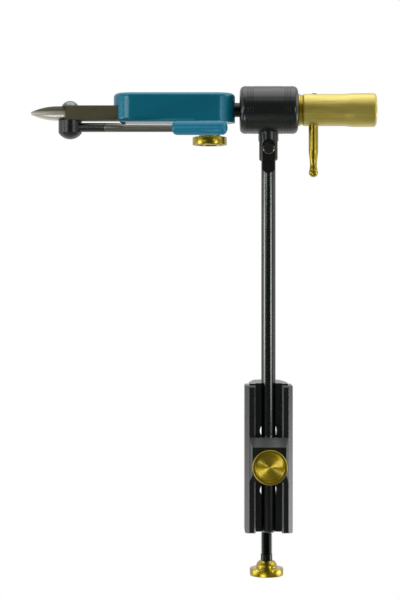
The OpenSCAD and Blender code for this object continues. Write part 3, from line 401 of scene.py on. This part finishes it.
# %% Teal anodised aluminium
teal, tree, shader, place = new_finish("anodised_aluminium_teal", metallic=0.5)
shader.inputs["Specular IOR Level"].default_value = 0.2
dye = streaks(tree, place, (25, 20, 12), seed=4)
shade(tree, shader, dye, dark="#00738c", pale="#007f99")
tooth = streaks(tree, place, TOOTH_MM, seed=5)
vary(tree, shader, "Roughness", tooth, low=0.38, high=0.46)
relief(tree, shader, tooth, height_mm=0.003)
coat(shader, weight=1.0, roughness=0.17)
paint(teal, "head_body")

# %% [markdown]
# ### Black oxide steel
# The stem, the screws and the shaft are steel with a hot black oxide skin, oiled. It is
# thin enough that the steel's own gloss comes through: darker than bare steel, yet it
# shows clear bright lines. Black paint would hide the metal, so this is a metal with a dark
# colour, which keeps those lines. The stem was ground, and its fine marks would flicker in
# a small picture, so they are drawn much coarser, as low waves of 2 to 3 mm. The cam's cap
# and the pivot screw get a paler copy of the skin, a painted highlight that makes them
# shine brighter than the other black steel.

# %% Black oxide steel
SCREW_GRAIN_MM = (0.5, 0.5, 0.5)


def black_oxide(name, dark, pale, grain_mm, seed):
    material, tree, shader, place = new_finish(name)
    skin = streaks(tree, place, (6, 6, 14), seed)
    shade(tree, shader, skin, dark, pale)
    grain = streaks(tree, place, grain_mm, seed + 1)
    vary(tree, shader, "Roughness", grain, low=0.15, high=0.18)
    relief(tree, shader, grain, height_mm=0.0002)
    return material


stem_oxide = black_oxide("black_oxide_ground_steel", "#5a5e5a", "#6a6e6a", (3, 3, 2), seed=6)
screw_oxide = black_oxide(
    "black_oxide_screw_steel", "#323632", "#424642", SCREW_GRAIN_MM, seed=7)
# A paler copy of the black oxide: painted highlight on the cam's cap and the pivot screw
highlight_oxide = black_oxide(
    "black_oxide_steel_painted_highlight", "#767a76", "#8d918d", SCREW_GRAIN_MM, seed=15)
paint(stem_oxide, "stem")
paint(highlight_oxide, "cam_cap", "pivot_screw")
paint(
    screw_oxide, "lock_screw", "screw_collar", "pivot_nut", "snap_rings", "rotor_shaft",
    "shaft_clip", "sleeve_set_screw")

# %% [markdown]
# ### Brass
# Free-cutting brass, turned, hand polished and lacquered. It is warm yellow with a touch
# of green, tarnishes faintly under the lacquer and carries the marks of the polishing
# cloth. On the sleeve both run along the handle. Real streaks are about 0.1 mm wide and
# are drawn at 1.6 mm, because fine ones look grainy in a small picture. On the knobs, the
# finger lever and the washers the marks are too fine to have a direction, so they are soft
# blotches of 5 to 7 mm. A bright metal alone would mirror only in yellow. The lacquer is a
# clear coat on it, whose own gloss makes the brightest bands paler than the metal.

# %% Brass
def turned_brass(name, dark, pale, gloss, tarnish_mm, polish_mm, height_mm, seed):
    """Brass whose roughness moves within gloss, a low and a high value."""
    material, tree, shader, place = new_finish(name)
    tarnish = streaks(tree, place, tarnish_mm, seed)
    shade(tree, shader, tarnish, dark, pale)
    polish = streaks(tree, place, polish_mm, seed + 1)
    vary(tree, shader, "Roughness", polish, *gloss)
    relief(tree, shader, polish, height_mm)
    coat(shader, weight=1.0, roughness=0.12)
    return material


sleeve_brass = turned_brass(
    "polished_brass_sleeve", "#c8b230", "#f2e486", gloss=(0.46, 0.56),
    tarnish_mm=(18, 1.6, 1.6), polish_mm=(18, 1.6, 1.6), height_mm=0.006, seed=8)
knob_brass = turned_brass(
    "turned_brass_knob", "#b49a0c", "#ccb420", gloss=(0.27, 0.33),
    tarnish_mm=(7, 5, 5), polish_mm=(5, 5, 5), height_mm=0.001, seed=9)
paint(sleeve_brass, "handle_sleeve")
paint(knob_brass, "lock_tip", "pivot_washers", "thrust_washer", "disc_springs", "crank_lever")

# %% [markdown]
# ### Dipped vinyl
# The grip is soft vinyl that the rod's end was dipped in. Unlike the head's dye it is
# opaque, so this finish has no metal in it, and it looks lighter though its colour is
# nearly the same. An even gloss alone would look like moulded plastic. A dipped skin is
# slightly wavy, so it also gets a low relief in cells of 3 mm.

# %% Dipped vinyl
vinyl, tree, shader, place = new_finish("dipped_vinyl_teal", metallic=0.0)
shader.inputs["Roughness"].default_value = 0.26
wave = streaks(tree, place, (3, 3, 3), seed=10)
shade(tree, shader, wave, dark="#006e8a", pale="#007b9a")
relief(tree, shader, wave, height_mm=0.02)
print("vinyl:", vinyl.name)

# %% [markdown]
# ### Jaw steel
# The jaws are hardened tool steel. The bars keep the thin brown skin of the quench and
# its oil, and the nose was turned bright afterwards. Over the nose's top the brown is
# painted shade. The bright steel below it is the turned steel, made brighter there as
# painted light. Two finishes on split faces would leave a hard line, so it is one finish,
# and two soft masks by place say where the steel is bright: one for the turned nose, one
# for its painted light below the middle. The turning marks run round the nose, about
# 0.1 mm apart on the real one and 0.3 mm here.

# %% Where the jaws are bright, and where painted shade covers the nose's top
JAW_SHOULDER_X, JAW_Z = -134.5, 193.6
# In mm: in front of the shoulder, and above and below the middle of the jaws, where the
# nose goes from painted shade to painted light
BRIGHT_STARTS, BRIGHT_FULL = 0.1, 1.3
SHADED_ABOVE, LIT_BELOW = 1.7, 0.7

jaw_steel, tree, shader, place = new_finish("hardened_jaw_steel")
along = add_node(tree, "ShaderNodeSeparateXYZ", links={"Vector": place})
nose = add_node(
    tree, "ShaderNodeMapRange",
    {"From Min": (JAW_SHOULDER_X - BRIGHT_STARTS) * MM,
     "From Max": (JAW_SHOULDER_X - BRIGHT_FULL) * MM},
    {"Value": along.outputs["X"]})
# Painted shade and light: darker over the nose's top, brighter on its lower half
painted_light_below = add_node(
    tree, "ShaderNodeMapRange",
    {"From Min": (JAW_Z + SHADED_ABOVE) * MM, "From Max": (JAW_Z - LIT_BELOW) * MM},
    {"Value": along.outputs["Z"]})
# Turned nose and painted light together: bright only where both masks are
polished_and_lit = add_node(
    tree, "ShaderNodeMath", links={0: nose.outputs["Result"], 1: painted_light_below.outputs["Result"]},
    operation="MULTIPLY").outputs[0]
print("the nose is bright left of x =", JAW_SHOULDER_X - BRIGHT_FULL, "mm")

# %% Jaw steel
skin = streaks(tree, place, (9, 3, 3), seed=11)
oxide = add_node(
    tree, "ShaderNodeMix", {"A": linear("#46452b"), "B": linear("#58563d")},
    {"Factor": skin}, data_type="RGBA")
steel = add_node(
    tree, "ShaderNodeMix", {"B": linear("#f4efe2")},
    {"Factor": polished_and_lit, "A": oxide.outputs["Result"]}, data_type="RGBA")
tree.links.new(steel.outputs["Result"], shader.inputs["Base Color"])
# The brown values serve the bar's real skin and the painted shade on the nose's top
for socket, brown, bright in (("Roughness", 0.6, 0.42), ("Metallic", 0.3, 1.0)):
    value = add_node(
        tree, "ShaderNodeMapRange", {"To Min": brown, "To Max": bright}, {"Value": polished_and_lit})
    tree.links.new(value.outputs["Result"], shader.inputs[socket])
turning = streaks(tree, place, (0.3, 8, 8), seed=12)
turned = add_node(
    tree, "ShaderNodeMath", links={0: turning, 1: polished_and_lit}, operation="MULTIPLY")
relief(tree, shader, turned.outputs[0], height_mm=0.015)
paint(jaw_steel, "jaw_front", "jaw_rear")

# %% [markdown]
# ### Bare steel
# The lever's rod is drawn stainless wire, with faint lines along it. The lines are a
# pattern turned by the rod's own two angles. They could be real grooves, but those would
# be finer than a hair. Drawn 0.5 mm wide they are already coarser than real ones. The
# bearings, pins, shields and spring are ground or drawn bright.

# %% Bare steel
LEVER_ANGLE = math.radians(22)
LEVER_FALL = math.radians(1.7)
wire, tree, shader, place = new_finish("drawn_stainless_wire")
shader.inputs["Roughness"].default_value = 0.38
drawn = streaks(tree, place, (6, 0.5, 0.5), seed=13, turn=(0, LEVER_FALL, -LEVER_ANGLE))
shade(tree, shader, drawn, dark="#6c6a60", pale="#7d7b70")
relief(tree, shader, drawn, height_mm=0.002)

ground, tree, shader, place = new_finish("ground_bearing_steel")
shader.inputs["Base Color"].default_value = linear("#b5b6b3")
marks = streaks(tree, place, (0.4, 0.4, 0.4), seed=14)
vary(tree, shader, "Roughness", marks, low=0.14, high=0.24)
paint(
    ground, "bearing_outer_rings", "bearing_balls", "bearing_inner_rings", "bearing_spacer",
    "jaw_pins")

# %% [markdown]
# ## Turned pieces
# A lathe part is one outline carried round an axis. In bmesh that is spin: a chain of
# vertices, each a radius and a height in mm, turned through a full circle and merged
# where it closes. Cylinders joined by booleans could give the same form, but with worse
# faces. A screw thread is the same outline with teeth, moved along the axis by one pitch
# during the turn, so that each tooth runs into the next. The corners of the outline stay
# sharp at first, and bevel rounds the rings that a finger would feel.

# %% Spin
KNOB_STEPS, SHIELD_STEPS, LEVER_STEPS, SCREW_STEPS, THREAD_STEPS = 96, 72, 64, 48, 40
MERGE_MM, NEAR_MM = 0.0005, 0.01
EDGE_SEGMENTS = 3


def spun(bm, outline, steps, rise=0.0):
    """Adds an outline of (radius, height) in mm turned about Z."""
    chain = [bm.verts.new((r * MM, 0, h * MM)) for r, h in outline]
    edges = [bm.edges.new(pair) for pair in zip(chain, chain[1:])]
    bmesh.ops.spin(
        bm, geom=chain + edges, cent=(0, 0, 0), axis=(0, 0, 1), dvec=(0, 0, rise * MM / steps),
        angle=2 * math.pi, steps=steps, use_merge=rise == 0)
    bmesh.ops.remove_doubles(bm, verts=bm.verts[:], dist=MERGE_MM * MM)


def soften(bm, corners, width):
    """Rounds the rings of edges that lie at the given (radius, height) corners."""
    def at_corner(vert, corner):
        radius = math.hypot(vert.co.x, vert.co.y) / MM
        return abs(radius - corner[0]) < NEAR_MM and abs(vert.co.z / MM - corner[1]) < NEAR_MM

    rings = [
        e for e in bm.edges if any(all(at_corner(v, c) for v in e.verts) for c in corners)]
    bmesh.ops.bevel(
        bm, geom=rings, offset=width * MM, offset_type="OFFSET", affect="EDGES",
        segments=EDGE_SEGMENTS, profile=0.5, material=-1, clamp_overlap=True)


print("steps in one turn of a knob:", KNOB_STEPS, "and of a thread:", THREAD_STEPS)

# %% [markdown]
# Every made piece ends in the same way: its faces are turned outwards, it is moved to its
# place while its object stays at the origin, and it gets its material and body.
# Moving the object would be shorter, but a pattern on Object coordinates would then slide.

# %% Finish a piece
SHARP_FROM = math.radians(35)
STEM_Y = -34


def at(x, y, z):
    return Matrix.Translation((x * MM, y * MM, z * MM))


def finished(name, bm, body, material, place=Matrix.Identity(4), replaced=None):
    bmesh.ops.recalc_face_normals(bm, faces=bm.faces[:])
    bm.transform(place)
    mesh = bpy.data.meshes.new(name)
    bm.to_mesh(mesh)
    bm.free()
    piece = bpy.data.objects.new(name, mesh)
    bpy.context.scene.collection.objects.link(piece)
    mesh.shade_smooth()
    mesh.set_sharp_from_angle(angle=SHARP_FROM)
    mesh.materials.append(material)
    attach(piece, body)
    if replaced:
        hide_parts(replaced)
    print(name, len(mesh.polygons), "faces")


print("edges of", round(math.degrees(SHARP_FROM)), "degrees or more stay sharp")

# %% [markdown]
# ### Thumb knobs
# Three equal knobs were turned from brass bar: a disc with a dome on its screw's side and
# a recessed face, a shallow cone, on the other. The facing tool left rings in the recess,
# which send a pale bow tie towards each lamp. A bump could draw them, but then the mesh
# itself would be smooth, so they are ridges of the mesh. The real rings are about 0.1 mm
# apart and are drawn at 0.5 mm, 0.11 mm deep. The solid knob has neither rings nor cone, so
# these pieces stand for the three solids.

# %% Knob
KNOB_R, KNOB_T, DOME_H, KNOB_EDGE = 11.43, 5.4, 5.0, 0.5
RIM_R, RECESS, CONE, RING_STEP, RING_DEPTH = 9.43, 0.9, 0.3, 0.5, 0.11
DOME_R, DOME_TIP_R, BORE_R, BORE_H = 7.25, 4.0, 3.185, 7.0
ARC_STEPS = 12
ARC = [QUARTER * i / ARC_STEPS for i in range(ARC_STEPS + 1)]


def thumb_knob():
    """A knob whose dome ends at height 0 and whose face looks down."""
    low = -KNOB_T - DOME_H
    outline = [(0, low + RECESS + CONE)]
    halves = 2 * round(RIM_R / RING_STEP)
    for i in range(1, halves):
        radius = RIM_R * i / halves
        cone = low + RECESS + CONE * (1 - radius / RIM_R)
        outline.append((radius, cone + RING_DEPTH * (i % 2)))
    outline += [(RIM_R, low + RECESS), (RIM_R, low), (KNOB_R, low), (KNOB_R, -DOME_H)]
    for a in ARC:
        outline.append(
            (DOME_TIP_R + (DOME_R - DOME_TIP_R) * math.cos(a), DOME_H * (math.sin(a) - 1)))
    outline += [(BORE_R, 0), (BORE_R, -BORE_H), (0, -BORE_H)]
    bm = bmesh.new()
    spun(bm, outline, KNOB_STEPS)
    soften(bm, [(KNOB_R, low), (KNOB_R, -DOME_H)], KNOB_EDGE)
    soften(bm, [(RIM_R, low)], KNOB_EDGE / 2)
    return bm


print("rings in the recess:", round(RIM_R / RING_STEP))

# %% Three knobs
LOCK_DOME_Y, LOCK_Z, FOOT_DOME_Z = -52.6, -39.4, -109.2
HEAD_SCREW_X, HEAD_DOME_Z = -39.1, 182.8
for name, body, replaced, place in (
        ("knob_lock_turned", "lock_screw_turn", "lock_knob",
         at(0, LOCK_DOME_Y, LOCK_Z) @ Matrix.Rotation(-QUARTER, 4, "X")),
        ("knob_foot_turned", "clamp_screw_turn", "screw_knob", at(0, 0, FOOT_DOME_Z)),
        ("knob_head_turned", "head_lock", "head_knob", at(HEAD_SCREW_X, STEM_Y, HEAD_DOME_Z))):
    finished(name, thumb_knob(), body, knob_brass, place, replaced)

# %% [markdown]
# ### Threads
# The clamp screw has eighteen threads to the inch and the head screw twenty. Their solids
# are plain cylinders, which looks wrong at once, so these pieces replace them. Rings round
# a cylinder would be easier, but a thread climbs, and near its end that shows. The tooth
# is the usual 60 degree form, with a flat of an eighth of the pitch on its crest and a
# quarter at its root.

# %% Thread
INCH = 25.4
# In pitches: five eighths of the height of a sharp 60 degree tooth
TOOTH_HEIGHT = math.sqrt(3) * 5 / 16
# Teeth made beyond the low end, where the thread is then cut flat
SPARE_TEETH = 2


def cut_flat(bm, height, upward):
    """Cuts off what lies beyond a height, in mm, and closes the cut."""
    cut = bmesh.ops.bisect_plane(
        bm, geom=bm.verts[:] + bm.edges[:] + bm.faces[:], plane_co=(0, 0, height * MM),
        plane_no=(0, 0, 1 if upward else -1), clear_outer=True)["geom_cut"]
    bmesh.ops.edgeloop_fill(bm, edges=[e for e in cut if isinstance(e, bmesh.types.BMEdge)])


def thread(bm, radius, pitch, low, high):
    """Adds a thread between two heights in mm, closed at both ends."""
    root = radius - pitch * TOOTH_HEIGHT
    part = bmesh.new()
    start = low - SPARE_TEETH * pitch
    outline = []
    for tooth in range(math.ceil((high - low) / pitch) + SPARE_TEETH + 1):
        foot = start + tooth * pitch
        outline += [
            (root, foot), (root, foot + pitch / 4),
            (radius, foot + pitch * 9 / 16), (radius, foot + pitch * 11 / 16)]
    outline.append((root, foot + pitch))
    spun(part, outline, THREAD_STEPS, pitch)
    cut_flat(part, low, False)
    cut_flat(part, high, True)
    mesh = bpy.data.meshes.new("thread_part")
    part.to_mesh(mesh)
    part.free()
    bm.from_mesh(mesh)
    bpy.data.meshes.remove(mesh)
    return root


print("a tooth at 18 threads per inch is", round(INCH / 18 * TOOTH_HEIGHT, 2), "mm high")

# %% Clamp screw
NECK_R, NECK_TOP, THREAD_TOP, THREAD_LOW, STUB_LOW = 2.0, -26.8, -31.1, -105.1, -116.2
CLAMP_THREAD_R, STUB_R, THREAD_END, SCREW_EDGE = 3.96875, 3.175, 0.6, 0.3
bm = bmesh.new()
root = thread(bm, CLAMP_THREAD_R, INCH / 18, THREAD_LOW, THREAD_TOP - THREAD_END)
spun(bm, [
    (0, THREAD_TOP - THREAD_END), (root, THREAD_TOP - THREAD_END),
    (root, THREAD_TOP - SCREW_EDGE), (root - SCREW_EDGE, THREAD_TOP),
    (NECK_R, THREAD_TOP), (NECK_R, NECK_TOP - SCREW_EDGE),
    (NECK_R - SCREW_EDGE, NECK_TOP), (0, NECK_TOP)], SCREW_STEPS)
spun(bm, [(0, STUB_LOW), (STUB_R, STUB_LOW), (STUB_R, THREAD_LOW), (0, THREAD_LOW)],
     SCREW_STEPS)
finished(
    "clamp_screw_threaded", bm, "clamp_screw_turn", screw_oxide,
    replaced="clamp_screw")

# %% Head screw
HEAD_SCREW_LOW, HEAD_SCREW_TOP, HEAD_SCREW_EDGE = 175.8, 190.84, 0.5
DOG_R, DOG_TOP = 1.5875, 191.44
bm = bmesh.new()
root = thread(bm, STUB_R, INCH / 20, HEAD_DOME_Z, HEAD_SCREW_TOP - HEAD_SCREW_EDGE)
spun(bm, [
    (0, HEAD_SCREW_TOP - HEAD_SCREW_EDGE), (root, HEAD_SCREW_TOP - HEAD_SCREW_EDGE),
    (root - HEAD_SCREW_EDGE, HEAD_SCREW_TOP), (DOG_R, HEAD_SCREW_TOP),
    (DOG_R, DOG_TOP), (0, DOG_TOP)], SCREW_STEPS)
spun(bm, [
    (0, HEAD_SCREW_LOW), (STUB_R, HEAD_SCREW_LOW), (STUB_R, HEAD_DOME_Z), (0, HEAD_DOME_Z)],
    SCREW_STEPS)
finished(
    "head_screw_threaded", bm, "head_lock", screw_oxide,
    at(HEAD_SCREW_X, STEM_Y, 0), "head_screw")

# %% [markdown]
# ### Swivel pad
# The pad presses under the table while the screw turns in its socket. Its face is
# grooved in rings to hold the wood. It hides behind the spine in the photograph, so its
# grooves are the usual ones. They could be cut from the solid one by one, but as notches
# in the outline the same spin makes them all.

# %% Swivel pad
PAD_LOW, PAD_H, PAD_R, PAD_EDGE = -31.0, 6.5, 8.0, 0.5
SOCKET_R, SOCKET_H, NECK_BORE_R, NECK_BORE_H = 4.75, 3.5, 2.05, 4.4
GROOVES, FIRST_GROOVE, GROOVE_STEP, GROOVE_W, GROOVE_DEPTH = 4, 1.2, 1.5, 0.5, 0.4
outline = [
    (0, NECK_BORE_H), (NECK_BORE_R, NECK_BORE_H), (NECK_BORE_R, 0), (SOCKET_R, 0),
    (SOCKET_R, SOCKET_H), (PAD_R, SOCKET_H), (PAD_R, PAD_H)]
for i in range(GROOVES):
    outer = PAD_R - FIRST_GROOVE - GROOVE_STEP * i
    outline += [
        (outer, PAD_H), (outer - GROOVE_W / 2, PAD_H - GROOVE_DEPTH), (outer - GROOVE_W, PAD_H)]
outline.append((0, PAD_H))
bm = bmesh.new()
spun(bm, outline, KNOB_STEPS)
soften(bm, [(PAD_R, SOCKET_H), (PAD_R, PAD_H), (SOCKET_R, 0)], PAD_EDGE)
finished(
    "swivel_pad_grooved", bm, "pad", screw_oxide, at(0, 0, PAD_LOW),
    "swivel_pad")

# %% [markdown]
# ### Jaw spring
# A short open coil between the jaws' tails pushes them apart, which closes the tips. It
# could be a curve with a round profile, but spin makes it a mesh in one step: a circle is
# turned five times round while it climbs, and its two ends are closed.

# %% Jaw spring
COIL_TURNS, COIL_LEN, WIRE_R, COIL_R = 5, 5.4, 0.22, 1.58
COIL_STEPS, WIRE_SIDES, SPRING_X = 24 * COIL_TURNS, 10, -65
bm = bmesh.new()
bmesh.ops.create_circle(
    bm, cap_ends=False, segments=WIRE_SIDES, radius=WIRE_R * MM,
    matrix=at(COIL_R, 0, WIRE_R - COIL_LEN / 2) @ Matrix.Rotation(QUARTER, 4, "X"))
bmesh.ops.spin(
    bm, geom=bm.verts[:] + bm.edges[:], cent=(0, 0, 0), axis=(0, 0, 1),
    angle=2 * math.pi * COIL_TURNS, dvec=(0, 0, (COIL_LEN - 2 * WIRE_R) * MM / COIL_STEPS),
    steps=COIL_STEPS, use_merge=False)
bmesh.ops.holes_fill(bm, edges=bm.edges[:], sides=WIRE_SIDES)
finished(
    "jaw_spring_coil", bm, "head", ground,
    at(SPRING_X, STEM_Y, JAW_Z) @ Matrix.Rotation(QUARTER, 4, "X"), "jaw_spring")

# %% [markdown]
# ### Bearing shields
# Each ball bearing is closed on both sides by a thin pressed ring, which is all that one
# sees of it when looking into the hub's end. The solids leave them out. A colour on the
# bearings could hint at them, but a shield is slightly dished, so each is a thin turned
# ring. Only the two outer ones, which can be seen, are added, just inside the bearings'
# faces.

# %% Bearing shields
AXIS_Z, SHIELD_IN, SHIELD_OUT, SHIELD_T = 195.9, 6.6, 9.3, 0.3
SHIELD_INSET, DISH, INNER_LIP, OUTER_LIP = 0.05, 0.1, 0.4, 0.5
bm = bmesh.new()
for face, inward in ((-17.1, 1), (17.7, -1)):
    near, deep = face + SHIELD_INSET * inward, face + (SHIELD_INSET + SHIELD_T) * inward
    spun(bm, [
        (SHIELD_IN, near), (SHIELD_IN + INNER_LIP, near + DISH * inward),
        (SHIELD_OUT - OUTER_LIP, near + DISH * inward), (SHIELD_OUT, near),
        (SHIELD_OUT, deep), (SHIELD_IN, deep), (SHIELD_IN, near)], SHIELD_STEPS)
finished(
    "bearing_shields", bm, "hub", ground,
    at(0, STEM_Y, AXIS_Z) @ Matrix.Rotation(QUARTER, 4, "Y"))

# %% [markdown]
# ### Squeeze lever
# The rod is thick next to its socket and narrows on its upper side only, because it was
# ground with its underside against a stop. A spin can't make such a lopsided form. So a
# plain turned rod is made first, and its narrow part is then lowered until the undersides
# agree. The lever's own Z axis becomes its length when it is laid into place.

# %% Rod
CAM_X, LEVER_Z = -132, 184.25
THICK_R, THIN_R, ROD_START, SHOULDER, ROD_END, ROD_EDGE = 3.0, 2.38, 13.0, 26.05, 102.4, 0.3
TAPER_AT, TAPER_LEN, TAPER_STEPS = 34.0, 8.5, 16
lever_place = (
    at(CAM_X, STEM_Y, LEVER_Z) @ Matrix.Rotation(-LEVER_ANGLE, 4, "Z")
    @ Matrix.Rotation(LEVER_FALL + QUARTER, 4, "Y"))


def rod_radius(along):
    share = min(max((along - TAPER_AT) / TAPER_LEN, 0), 1)
    return THICK_R + (THIN_R - THICK_R) * (1 - math.cos(math.pi * share)) / 2


taper = [TAPER_AT + TAPER_LEN * i / TAPER_STEPS for i in range(TAPER_STEPS + 1)]
bm = bmesh.new()
spun(bm, [(0, ROD_START), (THIN_R, ROD_START), (THIN_R, SHOULDER), (THICK_R, SHOULDER)]
     + [(rod_radius(along), along) for along in taper]
     + [(THIN_R, ROD_END), (0, ROD_END)], LEVER_STEPS)
soften(bm, [(THICK_R, SHOULDER)], ROD_EDGE)
for vert in bm.verts:
    vert.co.x += (THICK_R - rod_radius(vert.co.z / MM)) * MM
finished("lever_rod_drawn", bm, "lever", wire, lever_place, "lever_rod")

# %% [markdown]
# ### Grip
# The grip is dipped, so its skin swells a little from the rod, has no sharp edge anywhere
# and closes over the rod's end in a dome. A subdivided cylinder could give that, but an
# outline with round corners keeps its sizes exact. A shallow crease shows near its end.

# %% Grip
GRIP_AT, GRIP_R, GRIP_LEN, GRIP_DROP = 74.0, 4.7, 37.8, 0.32
GRIP_BORE_R, GRIP_MOUTH, GRIP_END, CREASE_AT, CREASE = 2.39, 0.3, 3.6, 34.2, 0.3
outline = [(0, ROD_END - GRIP_AT), (GRIP_BORE_R, ROD_END - GRIP_AT), (GRIP_BORE_R, 0)]
for a in ARC:
    outline.append((GRIP_R - GRIP_END * (1 - math.sin(a)), GRIP_END * (1 - math.cos(a))))
outline += [
    (GRIP_R, GRIP_LEN / 2), (GRIP_R, CREASE_AT - 3 * CREASE),
    (GRIP_R - CREASE / 3, CREASE_AT - CREASE), (GRIP_R - CREASE, CREASE_AT),
    (GRIP_R - CREASE, CREASE_AT + CREASE)]
# The crease takes the place of the arc's first two points
for a in ARC[2:]:
    outline.append(
        (GRIP_R - GRIP_END * (1 - math.cos(a)), GRIP_LEN - GRIP_END * (1 - math.sin(a))))
outline.append((0, GRIP_LEN))
bm = bmesh.new()
spun(bm, outline, LEVER_STEPS)
soften(bm, [(GRIP_BORE_R, 0)], GRIP_MOUTH)
grip_place = lever_place @ at(GRIP_DROP, 0, GRIP_AT)
finished("lever_grip_dipped", bm, "lever", vinyl, grip_place, "lever_grip")

# %% [markdown]
# ## Finish
# The picture uses the Standard view transform.

# %% Finish
bpy.context.scene.view_settings.view_transform = "Standard"
